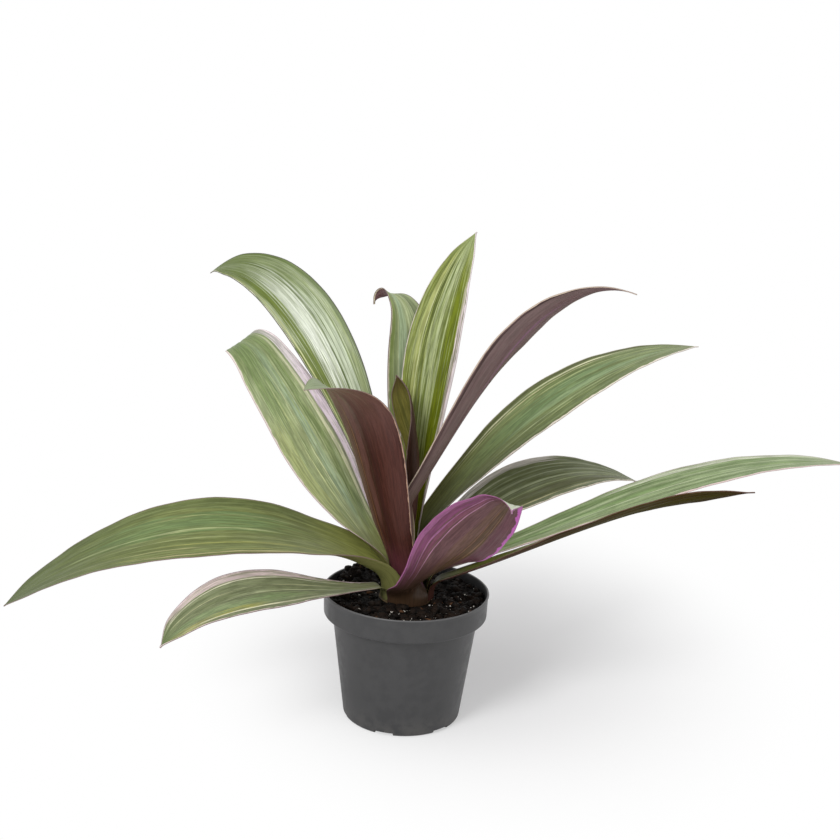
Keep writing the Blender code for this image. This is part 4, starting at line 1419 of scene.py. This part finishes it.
@dataclass
class Stem:
    """The short stem: a ringed cone that the leaf sheaths stand on."""

    foot_radius: float = 14.5
    foot_depth: float = 8.0
    scar_pitch: float = 2.6
    scar_depth: float = 0.18
    scars_from: float = 0.3
    gap: float = 0.2
    crown_share: float = 0.6
    crown: tuple[float, float] = (0.7, 0.9)  # heights of its shoulder and its point above the stem
    steps: int = 44
    segments: int = 96

    def build(self) -> Object:
        """Build the stem with its leaf scars.

        Returns:
            The stem.
        """
        foot, top = self.scars_from, SOIL_LEVEL + STEM_HEIGHT
        profile = [(0.0, SOIL_LEVEL - self.foot_depth), (self.foot_radius, SOIL_LEVEL - self.foot_depth)]
        profile.append((self.foot_radius, SOIL_LEVEL + foot))
        for step in range(self.steps + 1):
            height = foot + (STEM_HEIGHT - foot) * step / self.steps
            scar = self.scar_depth * math.sin(2.0 * math.pi * height / self.scar_pitch)
            profile.append((STEM_RADIUS - STEM_TAPER * height - self.gap + scar, SOIL_LEVEL + height))
        crown_radius = self.crown_share * (STEM_RADIUS - STEM_TAPER * STEM_HEIGHT)
        profile += [(crown_radius, top + self.crown[0]), (0.0, top + self.crown[1])]
        return turned_solid("stem_cone", profile, self.segments, STEM.material())


# ---- Studio ----


@dataclass
class Studio:
    """Pale floor, soft lamps, white surroundings and the camera, in metres and degrees."""

    lens: float = 60.0
    distance: float = 0.98
    elevation: float = 14.5
    roll: float = 2.6
    target: tuple[float, float, float] = (0.0044, 0.0, 0.2223)
    ambient: float = 0.72
    shadow_centre: tuple[float, float, float] = (0.07, 0.11, 0.0)
    shadow_share: tuple[float, float, float] = (1.0, 0.75, 0.0)
    shadow_fade: tuple[float, float] = (0.03, 0.26)

    def camera(self) -> None:
        """Place the camera and make it the scene's."""
        data = bpy.data.cameras.new("camera")
        data.lens = self.lens
        data.clip_end = 60.0
        camera = link("camera", data)
        tilt = Matrix.Rotation(math.radians(90.0 - self.elevation), 4, "X")
        roll = Matrix.Rotation(math.radians(self.roll), 4, "Z")
        back = Matrix.Translation((0.0, 0.0, self.distance))
        camera.matrix_world = Matrix.Translation(self.target) @ tilt @ roll @ back
        bpy.context.scene.camera = camera

    @staticmethod
    def lamp(name: str, place: tuple[float, float, float], size: float, power: float) -> None:
        """Hang a soft square lamp that faces the plant.

        Args:
            name: its name.
            place: where it hangs, in metres.
            size: its side in metres.
            power: its power in watts.
        """
        data = bpy.data.lights.new(name, "AREA")
        data.shape = "SQUARE"
        data.size = size
        data.energy = power
        lamp = link(name, data)
        lamp.location = place
        lamp.rotation_euler = (Vector((0.0, 0.0, 0.15)) - Vector(place)).to_track_quat("-Z", "Y").to_euler()

    def surroundings(self) -> None:
        """Make the world white where the camera, glass or gloss sees it, and a soft fill elsewhere."""
        world = bpy.data.worlds.new("surroundings")
        bpy.context.scene.world = world
        world.use_nodes = True
        sheet = NodeSheet(world.node_tree)
        path = sheet.add("ShaderNodeLightPath").outputs
        seen = sheet.math("MAXIMUM", path["Is Camera Ray"], path["Is Transmission Ray"])
        seen = sheet.math("MAXIMUM", seen, path["Is Glossy Ray"])
        shown = world.node_tree.nodes["Background"].inputs
        sheet.feed(shown["Color"], "#ffffff")
        sheet.feed(shown["Strength"], sheet.math("MAXIMUM", seen, self.ambient))

    def floor(self) -> None:
        """Lay a plain pale floor that keeps the plant's shadow and fades to white away from it."""
        bm = bmesh.new()
        bmesh.ops.create_grid(bm, x_segments=1, y_segments=1, size=20.0)
        sheet = MaterialSheet("floor")
        sheet.dress(colour=(0.92, 0.92, 0.925, 1.0), roughness=0.9, specular=0.1)
        place = sheet.add("ShaderNodeTexCoord").outputs["Object"]
        place = sheet.add("ShaderNodeVectorMath", {0: place, 1: self.shadow_share}, operation="MULTIPLY")
        ends = {0: place.outputs[0], 1: self.shadow_centre}
        away = sheet.add("ShaderNodeVectorMath", ends, operation="DISTANCE").outputs["Value"]
        seen = sheet.add("ShaderNodeLightPath").outputs["Is Camera Ray"]
        far = sheet.times(sheet.fit(away, *self.shadow_fade), seen)
        white = sheet.add("ShaderNodeEmission").outputs[0]
        shown = sheet.add("ShaderNodeMixShader", {0: far, 1: sheet.shader.outputs[0], 2: white})
        sheet.feed(sheet.tree.nodes["Material Output"].inputs["Surface"], shown.outputs[0])
        floor = place_mesh("floor", bm, sheet.material)

    def build(self) -> None:
        """Set up the studio."""
        bpy.context.scene.view_settings.view_transform = "Standard"
        self.camera()
        self.surroundings()
        self.floor()
        self.lamp("key_lamp", (-1.15, -1.75, 1.9), size=0.9, power=32.0)
        self.lamp("fill_lamp", (1.4, -1.8, 1.2), size=1.4, power=3.0)


# ---- Assembly ----


def seat(obj: Object, slot: str, *nodes: str) -> None:
    """Let a piece ride on the plant's body and stand for its solids.

    Args:
        obj: the piece.
        slot: the record's material slot, which is only logged.
        nodes: the solids that it stands for.
    """
    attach(obj, BODY)
    if nodes:
        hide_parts(*nodes)
    log.info("%s: %d faces, slot %s", obj.name, len(obj.data.polygons), slot)


def main() -> None:
    """Build the pot, the soil, the stem and the leaves, then the studio round them."""
    logging.basicConfig(level=logging.INFO, format="%(name)s: %(message)s")
    seat(NurseryPot().build(), "pot_plastic", "nursery_pot")
    soil = PottingSoil()
    seat(soil.surface(), "potting_soil", "potting_soil")
    for kind in soil.litter:
        seat(soil.scatter(kind), "potting_soil")
    seat(Stem().build(), "stem", "stem")
    for leaf in LEAVES:
        seat(leaf.build(), leaf.slot, leaf.name)
    Studio().build()


if __name__ == "__main__":
    main()
